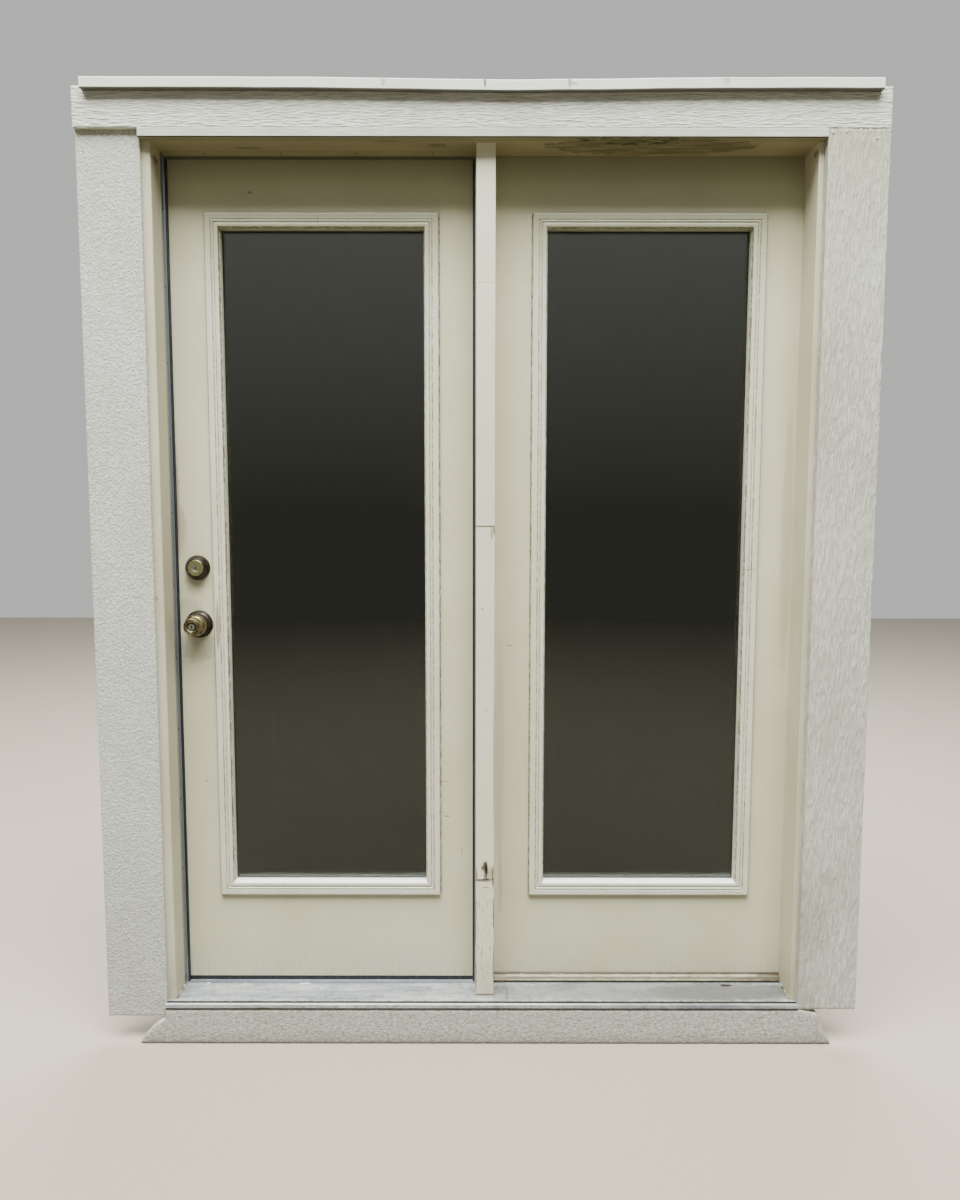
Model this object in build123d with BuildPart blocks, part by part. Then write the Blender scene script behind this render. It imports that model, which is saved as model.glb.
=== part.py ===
"""Centre-hinged patio doors: a working leaf and a fixed panel in one wooden frame.

Millimetres. X runs to the right, Y into the house and Z up. X = 0 is the middle of the mullion,
Y = 0 the outside face of the two slabs and Z = 0 the underside of the frame.
The left slab is the working leaf. It turns inwards on three butt hinges at the mullion.
The right slab is fixed.
"""
from build123d import *
import os

# Slabs, both of one size
SLAB_W = 755.0
SLAB_H = 2032.0
SLAB_T = 44.5
SLAB_EASE = 0.8
EDGE_GAP = 3.2
SWEEP_GAP = 10.5

# Frame
REVEAL = 92.0
JAMB_T = 19.05
LEFT_STOP = 9.5
RIGHT_STOP = 15.9
HEAD_STOP = 12.7
STOP_GAP = 3.0
STOP_EASE = 2.0
MULLION_WEB_T = 19.0
MULLION_STOP_W = 44.5
MULLION_SET_BACK = 8.0
FACE_BOARD_T = 11.0
LOWER_BOARD_THINNER = 1.0
FACE_BOARD_EASE = 1.5
FACE_JOINT_H = 1154.0
FOOT_JOINT_H = 289.0
FACE_JOINT_GAP = 0.6

# Sill
DECK_H = 38.0
DECK_FALL = 3.5
SILL_WALL = 2.5
NOSE = 27.0
LIP_W = 10.0
LIP_RISE = 1.0
LIP_H = 11.5
DRIP_GROOVE_W = 2.4
DRIP_GROOVE_D = 3.0
SILL_BACK_LEG = 18.0
APRON_H = 88.9
APRON_LEFT_FLARE = 65.0
APRON_RIGHT_FLARE = 84.0
APRON_SHOULDER = 49.0
APRON_SHOULDER_DROP = 12.0
BEAD_OUT = 12.0
BEAD_IN = 14.0
BEAD_UP = 12.0
SWEEP_BASE_T = 2.2
SWEEP_FIN_T = 1.6
SWEEP_INSET = 1.0
SWEEP_CLEAR = 0.35

# Casings and drip cap
LEFT_CASING_W = 144.0
LEFT_CASING_T = 14.0
LEFT_CASING_REVEAL = 19.6
LEFT_CASING_FOOT = 0.0
RIGHT_CASING_W = 139.7
RIGHT_CASING_T = 27.0
RIGHT_CASING_REVEAL = 11.2
RIGHT_CASING_FOOT = 25.0
CASING_EASE = 1.5
STRIP_H = 19.0
HEAD_CASING_H = 88.9
CAP_H = 28.0
CAP_PROUD = 45.0
CAP_LAP = 11.4
CAP_FALL = 4.0
CAP_LIP = 2.0
CAP_NOSE_R = 3.0
CAP_END_SHORT = 26.0

# Weatherstrip
CARRIER_T = 1.2
CARRIER_W = 26.0
CARRIER_SET_BACK = 0.5
CARRIER_FLANGE = 3.2
BULB_R = 3.6
BULB_FIT = 0.05
BULB_TO_SLAB = 0.35
OLD_HOLE_R = 4.5
OLD_HOLE_D = 12.0
OLD_HOLE_Y = -50.0
OLD_HOLE_BELOW_HEAD = 22.0

# Lites
PANE_T = 3.2
PANE_GAP = 6.3
SPACER_W = 7.0
SPACER_INSET = 3.0
LITE_MARGIN = 25.4
LITE_RAIL = 36.9
LITE_LAP = 17.4
LITE_LEG_T = 7.5
LITE_FROM_SIDE = 98.1
LITE_FROM_BOTTOM = 217.0
LITE_FROM_TOP = 138.6
CUTOUT_R = 10.0
STILE_POSTS = 5
POST_INSET = 21.4
POST_W = 6.8

# Hinges
HINGE_H = 88.9
HINGE_LEAF_T = 2.5
HINGE_LEAF_W = 30.0
BARREL_R = 6.0
BARREL_OFF = 6.2
BARREL_CLEAR = 0.6
PIN_R = 3.8
PIN_FIT = 0.05
KNUCKLES = 3
KNUCKLE_GAP = 0.4
PIN_HEAD_R = 5.6
PIN_HEAD_H = 3.0
HINGE_FROM_TOP = 178.0
HINGE_FROM_BOTTOM = 280.0

# Locks
BACKSET = 60.3
CROSS_BORE_R = 27.0
EDGE_BORE_R = 12.7
KNOB_FROM_BOTTOM = 910.0
LOCK_SPACING = 139.7
PLATE_CORNER_R = 6.35
FACE_PLATE_W = 25.4
FACE_PLATE_H = 57.2
PLATE_T = 2.4
CASE_R = 12.0
CASE_TAIL_T = 9.0
CASE_TAIL_H = 20.0
CASE_TAIL_L = 9.0
HUB_HOLE_R = 5.6
LATCH_T = 12.7
LATCH_H = 16.0
LATCH_THROW = 12.0
LATCH_GUIDE = 24.0
LATCH_BEVEL = 9.0
BOLT_T = 14.3
BOLT_H = 16.5
BOLT_THROW = 25.4
BOLT_GUIDE = 20.6
BOLT_FIT = 0.3
BOLT_SET_BACK = 0.3
STRIKE_W = 28.6
STRIKE_H = 57.2
STRIKE_CLEAR = 2.5
STRIKE_LIP_H = 32.0
ROSE_R = 34.0
ROSE_H = 13.0
ROSE_WALL = 1.6
KNOB_SHANK_R = 12.5
KNOB_SHANK_IN = 4.0
KNOB_L = 65.0
KNOB_R = 27.0
KNOB_FACE_R = 20.3
KNOB_PLUG_R = 8.0
KNOB_PLUG_L = 20.0
SPINDLE_W = 7.0
SPINDLE_SOCKET = 24.0
COLLAR_R = 30.7
COLLAR_H = 21.0
COLLAR_FACE_R = 21.4
CYLINDER_R = 19.4
CYLINDER_IN = 10.0
DEADBOLT_PLUG_R = 6.8
TAILPIECE_W = 6.0
TAILPIECE_T = 2.0
INNER_PLATE_H = 6.0
TURN_SHAFT_R = 6.5
TURN_SHAFT_IN = 8.0
TURN_L = 38.0
TURN_T = 8.0
TURN_H = 18.0
BUTTON_R = 5.0
BUTTON_L = 24.0
BUTTON_OUT = 5.0
KEYWAY_W = 1.6
KEYWAY_H = 8.0
KEYWAY_D = 6.0
RUNNING_FIT = 0.3

# Planes worked out from the sizes above
WALL_Y = -REVEAL
BACK_Y = SLAB_T
LEAF_STOP_Y = -STOP_GAP
SLAB_X = MULLION_WEB_T / 2 + EDGE_GAP + SLAB_W / 2
LEAF_HINGE_EDGE_X = -(SLAB_X - SLAB_W / 2)
LEAF_LOCK_EDGE_X = -(SLAB_X + SLAB_W / 2)
RABBET_X = SLAB_X + SLAB_W / 2 + EDGE_GAP
LEFT_STOP_X = -(RABBET_X - LEFT_STOP)
RIGHT_STOP_X = RABBET_X - RIGHT_STOP
FRAME_X = RABBET_X + JAMB_T
SLAB_Z = DECK_H + SWEEP_GAP
RABBET_Z = SLAB_Z + SLAB_H + EDGE_GAP
HEAD_STOP_Z = RABBET_Z - HEAD_STOP
FRAME_TOP = RABBET_Z + JAMB_T
MULLION_FACE_Y = WALL_Y + MULLION_SET_BACK
MULLION_POST_Y = MULLION_FACE_Y + FACE_BOARD_T
FACE_JOINT_Z = SLAB_Z + FACE_JOINT_H
FOOT_JOINT_Z = SLAB_Z + FOOT_JOINT_H
LIP_BACK_Y = WALL_Y - NOSE + LIP_W
GROOVE_Y = LIP_BACK_Y + DRIP_GROOVE_W
LEFT_CASING_X = LEFT_STOP_X - LEFT_CASING_REVEAL
RIGHT_CASING_X = RIGHT_STOP_X + RIGHT_CASING_REVEAL
CASING_TOP = HEAD_STOP_Z + STRIP_H
SLAB_MID_Y = SLAB_T / 2
PANE_Y = SLAB_MID_Y - PANE_GAP / 2 - PANE_T
LITE_W = SLAB_W - 2 * LITE_FROM_SIDE
LITE_H = SLAB_H - LITE_FROM_BOTTOM - LITE_FROM_TOP
GLASS_W = LITE_W - 2 * LITE_MARGIN
GLASS_H = LITE_H - 2 * LITE_MARGIN
LITE_MID_Z = SLAB_Z + LITE_FROM_BOTTOM + LITE_H / 2
LOCK_X = LEAF_LOCK_EDGE_X + BACKSET
KNOB_Z = SLAB_Z + KNOB_FROM_BOTTOM
DEADBOLT_Z = KNOB_Z + LOCK_SPACING
LATCH_L = LATCH_THROW + LATCH_GUIDE
BOLT_L = BOLT_THROW + BOLT_GUIDE
BARREL_X = -MULLION_WEB_T / 2 - EDGE_GAP / 2
BARREL_Y = BACK_Y + BARREL_OFF
HINGE_TOP_Z = SLAB_Z + SLAB_H - HINGE_FROM_TOP - HINGE_H / 2
HINGE_BOTTOM_Z = SLAB_Z + HINGE_FROM_BOTTOM + HINGE_H / 2
HINGE_HEIGHTS = (HINGE_BOTTOM_Z, (HINGE_BOTTOM_Z + HINGE_TOP_Z) / 2, HINGE_TOP_Z)


def save(builder, label):
    """Name a finished piece and write it to its own file."""
    builder.part.label = label
    export_step(builder.part, f"parts/{label}.step")


def facing(y):
    """Plane at depth y, looked at from outside: its x is X, its y is Z and it faces outwards."""
    return Plane.XZ.offset(-y)


def deck_z(y):
    """Height of the sill's deck: level under the slabs and falling outwards in front of them."""
    return DECK_H - DECK_FALL * max(0.0, y / GROOVE_Y)


# Side jambs: rabbeted boards, the stop's foot cut to stand on the deck

def side_jamb(side, stop_x, stop_y):
    outline = [
        (side * FRAME_X, WALL_Y),
        (side * FRAME_X, BACK_Y),
        (side * RABBET_X, BACK_Y),
        (side * RABBET_X, stop_y),
        (stop_x, stop_y),
        (stop_x, WALL_Y),
    ]
    foot = [(WALL_Y, 0), (stop_y, 0), (stop_y, deck_z(stop_y)), (WALL_Y, deck_z(WALL_Y))]
    with BuildPart() as jamb:
        with BuildSketch():
            with BuildLine():
                Polyline(*outline, close=True)
            make_face()
        extrude(amount=FRAME_TOP)
        with BuildSketch(Plane.YZ.offset(min(stop_x, side * RABBET_X))):
            with BuildLine():
                Polyline(*foot, close=True)
            make_face()
        extrude(amount=RABBET_X - abs(stop_x), mode=Mode.SUBTRACT)
        front = jamb.faces().sort_by(Axis.Y)[0]
        fillet(front.edges().filter_by(Axis.Z), STOP_EASE)
    return jamb


def strike_pocket(z, bolt_t, bolt_h):
    """Hole for a bolt, bored right through the left jamb, cut inside a BuildPart block."""
    with BuildSketch(Plane.YZ.offset(-RABBET_X)) as hole:
        with Locations((SLAB_MID_Y, z)):
            Rectangle(bolt_t + 2 * STRIKE_CLEAR, bolt_h + 2 * STRIKE_CLEAR)
    extrude(hole.sketch, amount=-JAMB_T, mode=Mode.SUBTRACT)


def strike_outline(z):
    """A strike plate's outline with its lip towards the house, drawn inside a BuildSketch block."""
    with Locations((SLAB_MID_Y, z)):
        RectangleRounded(STRIKE_W, STRIKE_H, PLATE_CORNER_R)
    with Locations(((SLAB_MID_Y + BACK_Y) / 2, z)):
        Rectangle(BACK_Y - SLAB_MID_Y, STRIKE_LIP_H)


os.makedirs("parts", exist_ok=True)

with BuildPart() as left_jamb:
    add(side_jamb(-1, LEFT_STOP_X, LEAF_STOP_Y).part)
    for z in (KNOB_Z, DEADBOLT_Z):
        with BuildSketch(Plane.YZ.offset(-RABBET_X)):
            strike_outline(z)
        extrude(amount=-PLATE_T, mode=Mode.SUBTRACT)
    strike_pocket(KNOB_Z, LATCH_T, LATCH_H)
    strike_pocket(DEADBOLT_Z, BOLT_T, BOLT_H)
    with BuildSketch(Plane.YZ.offset(LEFT_STOP_X)):
        with Locations((OLD_HOLE_Y, HEAD_STOP_Z - OLD_HOLE_BELOW_HEAD)):
            Circle(OLD_HOLE_R)
    extrude(amount=-OLD_HOLE_D, mode=Mode.SUBTRACT)
save(left_jamb, "left_jamb")

right_jamb = side_jamb(1, RIGHT_STOP_X, 0)
save(right_jamb, "right_jamb")

# Head jamb: rabbeted board between the side jambs, its ends coped over their stops
head_profile = [
    (WALL_Y, HEAD_STOP_Z),
    (LEAF_STOP_Y, HEAD_STOP_Z),
    (LEAF_STOP_Y, RABBET_Z),
    (BACK_Y, RABBET_Z),
    (BACK_Y, FRAME_TOP),
    (WALL_Y, FRAME_TOP),
]
with BuildPart() as head_jamb:
    with BuildSketch(Plane.YZ.offset(-RABBET_X)):
        with BuildLine():
            Polyline(*head_profile, close=True)
        make_face()
    extrude(amount=2 * RABBET_X)
    with BuildSketch(Plane.XY.offset(HEAD_STOP_Z)):
        with Locations((-RABBET_X, WALL_Y)):
            Rectangle(LEFT_STOP, REVEAL - STOP_GAP, align=(Align.MIN, Align.MIN))
        with Locations((RABBET_X, WALL_Y)):
            Rectangle(RIGHT_STOP, REVEAL, align=(Align.MAX, Align.MIN))
    extrude(amount=FRAME_TOP - HEAD_STOP_Z, mode=Mode.SUBTRACT)
save(head_jamb, "head_jamb")

# Mullion post: a T with its wide stop outside and its web between the slabs
post_outline = [
    (-MULLION_STOP_W / 2, MULLION_POST_Y),
    (MULLION_STOP_W / 2, MULLION_POST_Y),
    (MULLION_STOP_W / 2, 0),
    (MULLION_WEB_T / 2, 0),
    (MULLION_WEB_T / 2, BACK_Y),
    (-MULLION_WEB_T / 2, BACK_Y),
    (-MULLION_WEB_T / 2, LEAF_STOP_Y),
    (-MULLION_STOP_W / 2, LEAF_STOP_Y),
]


def deck_cut(y_front, y_back, width):
    """Take away what lies below the deck, over a width about the mullion."""
    under_deck = [
        (y_front, 0),
        (y_back, 0),
        (y_back, deck_z(y_back)),
        (min(0, y_back), deck_z(min(0, y_back))),
        (y_front, deck_z(y_front)),
    ]
    corners = [p for i, p in enumerate(under_deck) if p not in under_deck[:i]]
    with BuildSketch(Plane.YZ.offset(-width / 2)) as below:
        with BuildLine():
            Polyline(*corners, close=True)
        make_face()
    extrude(below.sketch, amount=width, mode=Mode.SUBTRACT)


with BuildPart() as mullion_post:
    with BuildSketch():
        with BuildLine():
            Polyline(*post_outline, close=True)
        make_face()
    extrude(amount=HEAD_STOP_Z)
    with BuildSketch(Plane.XY.offset(HEAD_STOP_Z)):
        with Locations((0, LEAF_STOP_Y)):
            Rectangle(MULLION_WEB_T, BACK_Y - LEAF_STOP_Y, align=(Align.CENTER, Align.MIN))
    extrude(amount=HEAD_STOP)
    deck_cut(MULLION_POST_Y, BACK_Y, MULLION_STOP_W)
    with Locations(*[(-MULLION_WEB_T / 2, BACK_Y, z) for z in HINGE_HEIGHTS]):
        Box(HINGE_LEAF_T, HINGE_LEAF_W, HINGE_H,
            align=(Align.MIN, Align.MAX, Align.CENTER), mode=Mode.SUBTRACT)
save(mullion_post, "mullion_post")


# Face boards up the mullion, butted end to end. The lower one has rotted at its foot

def face_board(low, high, thickness):
    with BuildPart() as board:
        with BuildSketch(facing(MULLION_POST_Y)):
            with Locations((0, low)):
                Rectangle(MULLION_STOP_W, high - low, align=(Align.CENTER, Align.MIN))
        extrude(amount=thickness)
        front = board.faces().sort_by(Axis.Y)[0]
        fillet(front.edges().filter_by(Axis.Z), FACE_BOARD_EASE)
    return board


upper_board = face_board(FACE_JOINT_Z + FACE_JOINT_GAP, HEAD_STOP_Z, FACE_BOARD_T)
save(upper_board, "mullion_face_upper")

LOWER_BOARD_T = FACE_BOARD_T - LOWER_BOARD_THINNER
EDGE = MULLION_STOP_W / 2
ragged_end = [
    (-EDGE, -1), (EDGE, -1), (EDGE, 2.5), (15, 1.2), (9, 3.6), (5, 4.5),
    (1, 2), (-3, 3), (-9, 1), (-15, 2.4), (-EDGE, 1),
]
rot_hole = [
    (0, 46), (2.4, 41), (1.8, 33), (4, 29), (1.4, 23), (2.6, 13), (4.6, 7),
    (1, 6), (-1.4, 12), (-1.8, 23), (-7, 25), (-9.4, 30), (-3.6, 35), (-1.2, 40),
]
edge_chips = [(EDGE + 1, 34), (19.5, 28), (21, 21), (17.5, 12), (20, 6), (EDGE + 1, 4)]
with BuildPart() as lower_board:
    add(face_board(FOOT_JOINT_Z, FACE_JOINT_Z, LOWER_BOARD_T).part)
    for damage in (ragged_end, rot_hole, edge_chips):
        with BuildSketch(facing(MULLION_POST_Y)):
            with BuildLine():
                Polyline(*[(x, FOOT_JOINT_Z + z) for x, z in damage], close=True)
            make_face()
        extrude(amount=FACE_BOARD_T, mode=Mode.SUBTRACT)
save(lower_board, "mullion_face_lower")

with BuildPart() as foot_board:
    add(face_board(0, FOOT_JOINT_Z, LOWER_BOARD_T).part)
    deck_cut(MULLION_FACE_Y, MULLION_POST_Y, MULLION_STOP_W)
save(foot_board, "mullion_face_foot")


# Sill: an aluminium deck over a wooden core, and a rough apron under its nose

def under_z(y):
    return deck_z(y) - SILL_WALL


groove_floor = deck_z(GROOVE_Y) - DRIP_GROOVE_D
lip_top = deck_z(GROOVE_Y) + LIP_RISE
lip_bottom = lip_top - LIP_H
nose_y = WALL_Y - NOSE
core_y = GROOVE_Y + SILL_WALL
deck_profile = [
    (BACK_Y, DECK_H),
    (0, DECK_H),
    (GROOVE_Y, deck_z(GROOVE_Y)),
    (GROOVE_Y, groove_floor),
    (LIP_BACK_Y, groove_floor),
    (LIP_BACK_Y, lip_top),
    (nose_y, lip_top),
    (nose_y, lip_bottom),
    (nose_y + SILL_WALL, lip_bottom),
    (nose_y + SILL_WALL, lip_top - SILL_WALL),
    (LIP_BACK_Y - SILL_WALL, lip_top - SILL_WALL),
    (LIP_BACK_Y - SILL_WALL, groove_floor - SILL_WALL),
    (core_y, groove_floor - SILL_WALL),
    (core_y, under_z(core_y)),
    (0, DECK_H - SILL_WALL),
    (BACK_Y - SILL_WALL, DECK_H - SILL_WALL),
    (BACK_Y - SILL_WALL, DECK_H - SILL_BACK_LEG),
    (BACK_Y, DECK_H - SILL_BACK_LEG),
]
with BuildPart() as sill_deck:
    with BuildSketch(Plane.YZ.offset(LEFT_CASING_X)):
        with BuildLine():
            Polyline(*deck_profile, close=True)
        make_face()
    extrude(amount=RABBET_X - LEFT_CASING_X)
    with BuildSketch():
        with Locations((LEFT_CASING_X, WALL_Y)):
            Rectangle(-RABBET_X - LEFT_CASING_X, REVEAL + BACK_Y, align=(Align.MIN, Align.MIN))
        with Locations((RIGHT_CASING_X, WALL_Y)):
            Rectangle(RABBET_X - RIGHT_CASING_X, NOSE, align=(Align.MIN, Align.MAX))
    extrude(amount=DECK_H, mode=Mode.SUBTRACT)
save(sill_deck, "sill_deck")

core_profile = [
    (WALL_Y, 0),
    (BACK_Y - SILL_WALL, 0),
    (BACK_Y - SILL_WALL, DECK_H - SILL_WALL),
    (0, DECK_H - SILL_WALL),
    (core_y, under_z(core_y)),
    (core_y, lip_bottom),
    (WALL_Y, lip_bottom),
]
with BuildPart() as sill_core:
    with BuildSketch(Plane.YZ.offset(-RABBET_X)):
        with BuildLine():
            Polyline(*core_profile, close=True)
        make_face()
    extrude(amount=RABBET_X + RIGHT_CASING_X)
save(sill_core, "sill_core")

apron_foot = lip_bottom - APRON_H
left_neck = (LEFT_CASING_X, LEFT_CASING_FOOT)
left_waist = (LEFT_CASING_X - APRON_LEFT_FLARE * 0.65, apron_foot / 2)
left_foot = (LEFT_CASING_X - APRON_LEFT_FLARE, apron_foot)
right_shoulder = (RIGHT_CASING_X + APRON_SHOULDER, RIGHT_CASING_FOOT - APRON_SHOULDER_DROP)
right_waist = (right_shoulder[0] + (APRON_RIGHT_FLARE - APRON_SHOULDER) / 2, apron_foot / 2)
right_foot = (RIGHT_CASING_X + APRON_RIGHT_FLARE, apron_foot)
with BuildPart() as sill_apron:
    with BuildSketch(facing(WALL_Y)):
        with BuildLine():
            Polyline(left_foot, right_foot)
            Spline(right_foot, right_waist, right_shoulder)
            Polyline(
                right_shoulder,
                (RIGHT_CASING_X, RIGHT_CASING_FOOT),
                (RIGHT_CASING_X, lip_bottom),
                (LEFT_CASING_X, lip_bottom),
                left_neck,
            )
            Spline(left_neck, left_waist, left_foot)
        make_face()
    extrude(amount=NOSE)
save(sill_apron, "sill_apron")


# Casings: plain boards on the wall face, the strip that trims the head, and the drip cap

def casing(x_low, x_high, z_low, z_high, thickness):
    with BuildPart() as board:
        with BuildSketch(facing(WALL_Y)):
            with Locations((x_low, z_low)):
                Rectangle(x_high - x_low, z_high - z_low, align=(Align.MIN, Align.MIN))
        extrude(amount=thickness)
        front = board.faces().sort_by(Axis.Y)[0]
        fillet(front.edges(), CASING_EASE)
    return board


left_outer_x = LEFT_CASING_X - LEFT_CASING_W
right_outer_x = RIGHT_CASING_X + RIGHT_CASING_W
left_casing = casing(left_outer_x, LEFT_CASING_X, LEFT_CASING_FOOT, CASING_TOP, LEFT_CASING_T)
save(left_casing, "left_casing")
right_casing = casing(RIGHT_CASING_X, right_outer_x, RIGHT_CASING_FOOT, CASING_TOP, RIGHT_CASING_T)
save(right_casing, "right_casing")
head_casing = casing(left_outer_x, right_outer_x, CASING_TOP, CASING_TOP + HEAD_CASING_H, RIGHT_CASING_T)
save(head_casing, "head_casing")
head_strip = casing(LEFT_CASING_X, RIGHT_CASING_X, HEAD_STOP_Z, CASING_TOP, RIGHT_CASING_T)
save(head_strip, "head_strip")

cap_bottom = CASING_TOP + HEAD_CASING_H - CAP_LAP
cap_profile = [
    (WALL_Y, CASING_TOP + HEAD_CASING_H),
    (WALL_Y, cap_bottom + CAP_H),
    (WALL_Y - CAP_PROUD, cap_bottom + CAP_H - CAP_FALL),
    (WALL_Y - CAP_PROUD, cap_bottom + CAP_LIP),
    (WALL_Y - CAP_PROUD + CAP_LIP, cap_bottom),
    (WALL_Y - RIGHT_CASING_T, cap_bottom),
    (WALL_Y - RIGHT_CASING_T, CASING_TOP + HEAD_CASING_H),
]
with BuildPart() as drip_cap:
    with BuildSketch(Plane.YZ.offset(left_outer_x + CAP_END_SHORT)):
        with BuildLine():
            Polyline(*cap_profile, close=True)
        make_face()
    extrude(amount=right_outer_x - left_outer_x - 2 * CAP_END_SHORT)
    nose = drip_cap.edges().filter_by(Axis.X).group_by(Axis.Y)[0].sort_by(Axis.Z)[-1]
    fillet(nose, CAP_NOSE_R)
save(drip_cap, "drip_cap")

# Weatherstrip: an aluminium carrier on the stops, a vinyl bulb held behind its flange
flange_y = -(BULB_TO_SLAB + 2 * BULB_R + BULB_FIT)
bulb_y = -(BULB_TO_SLAB + BULB_R)
bulb_off = CARRIER_T + BULB_FIT + BULB_R
carrier_back = LEAF_STOP_Y - CARRIER_SET_BACK
carrier_profile = [
    (0, carrier_back - CARRIER_W),
    (CARRIER_T, carrier_back - CARRIER_W),
    (CARRIER_T, flange_y - CARRIER_T),
    (CARRIER_FLANGE, flange_y - CARRIER_T),
    (CARRIER_FLANGE, flange_y),
    (CARRIER_T, flange_y),
    (CARRIER_T, carrier_back),
    (0, carrier_back),
]


def upright_carrier(stop_x, way):
    """Carrier on a stop's side face, its thickness growing away from the stop."""
    with BuildPart() as carrier:
        with BuildSketch(Plane.XY.offset(DECK_H)):
            with BuildLine():
                Polyline(*[(stop_x + way * off, y) for off, y in carrier_profile], close=True)
            make_face()
        extrude(amount=HEAD_STOP_Z - DECK_H)
    return carrier


left_carrier = upright_carrier(LEFT_STOP_X, 1)
save(left_carrier, "weatherstrip_left")
mullion_carrier = upright_carrier(-MULLION_STOP_W / 2, -1)
save(mullion_carrier, "weatherstrip_mullion")

head_carrier_x = LEFT_STOP_X + CARRIER_FLANGE + BULB_FIT
head_carrier_l = -MULLION_STOP_W / 2 - CARRIER_FLANGE - BULB_FIT - head_carrier_x
with BuildPart() as head_carrier:
    with BuildSketch(Plane.YZ.offset(head_carrier_x)):
        with BuildLine():
            Polyline(*[(y, HEAD_STOP_Z - off) for off, y in carrier_profile], close=True)
        make_face()
    extrude(amount=head_carrier_l)
save(head_carrier, "weatherstrip_head")

upright_bulb_l = HEAD_STOP_Z - bulb_off - BULB_R - BULB_FIT - DECK_H
with BuildPart() as bulbs:
    with BuildSketch(Plane.XY.offset(DECK_H)):
        with Locations((LEFT_STOP_X + bulb_off, bulb_y), (-MULLION_STOP_W / 2 - bulb_off, bulb_y)):
            Circle(BULB_R)
    extrude(amount=upright_bulb_l)
    with BuildSketch(Plane.YZ.offset(head_carrier_x)):
        with Locations((bulb_y, HEAD_STOP_Z - bulb_off)):
            Circle(BULB_R)
    extrude(amount=head_carrier_l)
save(bulbs, "weatherstrip_bulbs")


# Strike plates, let in flush with the left jamb's rabbet

def strike_plate(z, bolt_t, bolt_h):
    with BuildPart() as plate:
        with BuildSketch(Plane.YZ.offset(-RABBET_X)):
            strike_outline(z)
            with Locations((SLAB_MID_Y, z)):
                Rectangle(bolt_t + 2 * STRIKE_CLEAR, bolt_h + 2 * STRIKE_CLEAR, mode=Mode.SUBTRACT)
        extrude(amount=-PLATE_T)
    return plate


latch_strike = strike_plate(KNOB_Z, LATCH_T, LATCH_H)
save(latch_strike, "latch_strike")
deadbolt_strike = strike_plate(DEADBOLT_Z, BOLT_T, BOLT_H)
save(deadbolt_strike, "deadbolt_strike")


# Butt hinges: the frame leaf has the odd knuckles and the door leaf the even ones

def hinge_leaves(face_x, way, first):
    """All three leaves on one side. They grow from face_x the given way."""
    knuckle_l = HINGE_H / KNUCKLES
    plate_x = face_x + way * HINGE_LEAF_T / 2
    with BuildPart() as leaves:
        for middle in HINGE_HEIGHTS:
            bottom = middle - HINGE_H / 2
            plate_y = BACK_Y - HINGE_LEAF_W
            with Locations((plate_x, plate_y, middle)):
                Box(HINGE_LEAF_T, HINGE_LEAF_W - BARREL_CLEAR, HINGE_H,
                    align=(Align.CENTER, Align.MIN, Align.CENTER))
            for i in range(first, KNUCKLES, 2):
                low = bottom + i * knuckle_l + KNUCKLE_GAP / 2
                with Locations((plate_x, plate_y, low)):
                    Box(HINGE_LEAF_T, BARREL_Y - plate_y, knuckle_l - KNUCKLE_GAP,
                        align=(Align.CENTER, Align.MIN, Align.MIN))
                with Locations((BARREL_X, BARREL_Y, low)):
                    Cylinder(BARREL_R, knuckle_l - KNUCKLE_GAP,
                             align=(Align.CENTER, Align.CENTER, Align.MIN))
        with Locations(*[(BARREL_X, BARREL_Y, middle) for middle in HINGE_HEIGHTS]):
            Cylinder(PIN_R + PIN_FIT, HINGE_H, mode=Mode.SUBTRACT)
    return leaves


frame_leaves = hinge_leaves(-MULLION_WEB_T / 2, 1, 0)
save(frame_leaves, "hinge_frame_leaves")
door_leaves = hinge_leaves(LEAF_HINGE_EDGE_X, -1, 1)
save(door_leaves, "hinge_door_leaves")

with BuildPart() as hinge_pins:
    for middle in HINGE_HEIGHTS:
        top = middle + HINGE_H / 2 - KNUCKLE_GAP / 2
        with Locations((BARREL_X, BARREL_Y, top)):
            Cylinder(PIN_R, HINGE_H + KNUCKLE_GAP, align=(Align.CENTER, Align.CENTER, Align.MAX))
            Cylinder(PIN_HEAD_R, PIN_HEAD_H, align=(Align.CENTER, Align.CENTER, Align.MIN))
save(hinge_pins, "hinge_pins")


# Slabs, each with the cut-out for its lite

def slab(side):
    with BuildPart() as panel:
        with BuildSketch(facing(0)):
            with Locations((side * SLAB_X, SLAB_Z)):
                Rectangle(SLAB_W, SLAB_H, align=(Align.CENTER, Align.MIN))
        extrude(amount=-SLAB_T)
        faces = panel.faces().sort_by(Axis.Y)
        chamfer(faces[0].edges() + faces[-1].edges(), SLAB_EASE)
        with BuildSketch(facing(0)):
            with Locations((side * SLAB_X, LITE_MID_Z)):
                RectangleRounded(LITE_W - 2 * LITE_LAP, LITE_H - 2 * LITE_LAP, CUTOUT_R)
        extrude(amount=-SLAB_T, mode=Mode.SUBTRACT)
    return panel


fixed_slab = slab(1)
save(fixed_slab, "fixed_slab")

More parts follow.
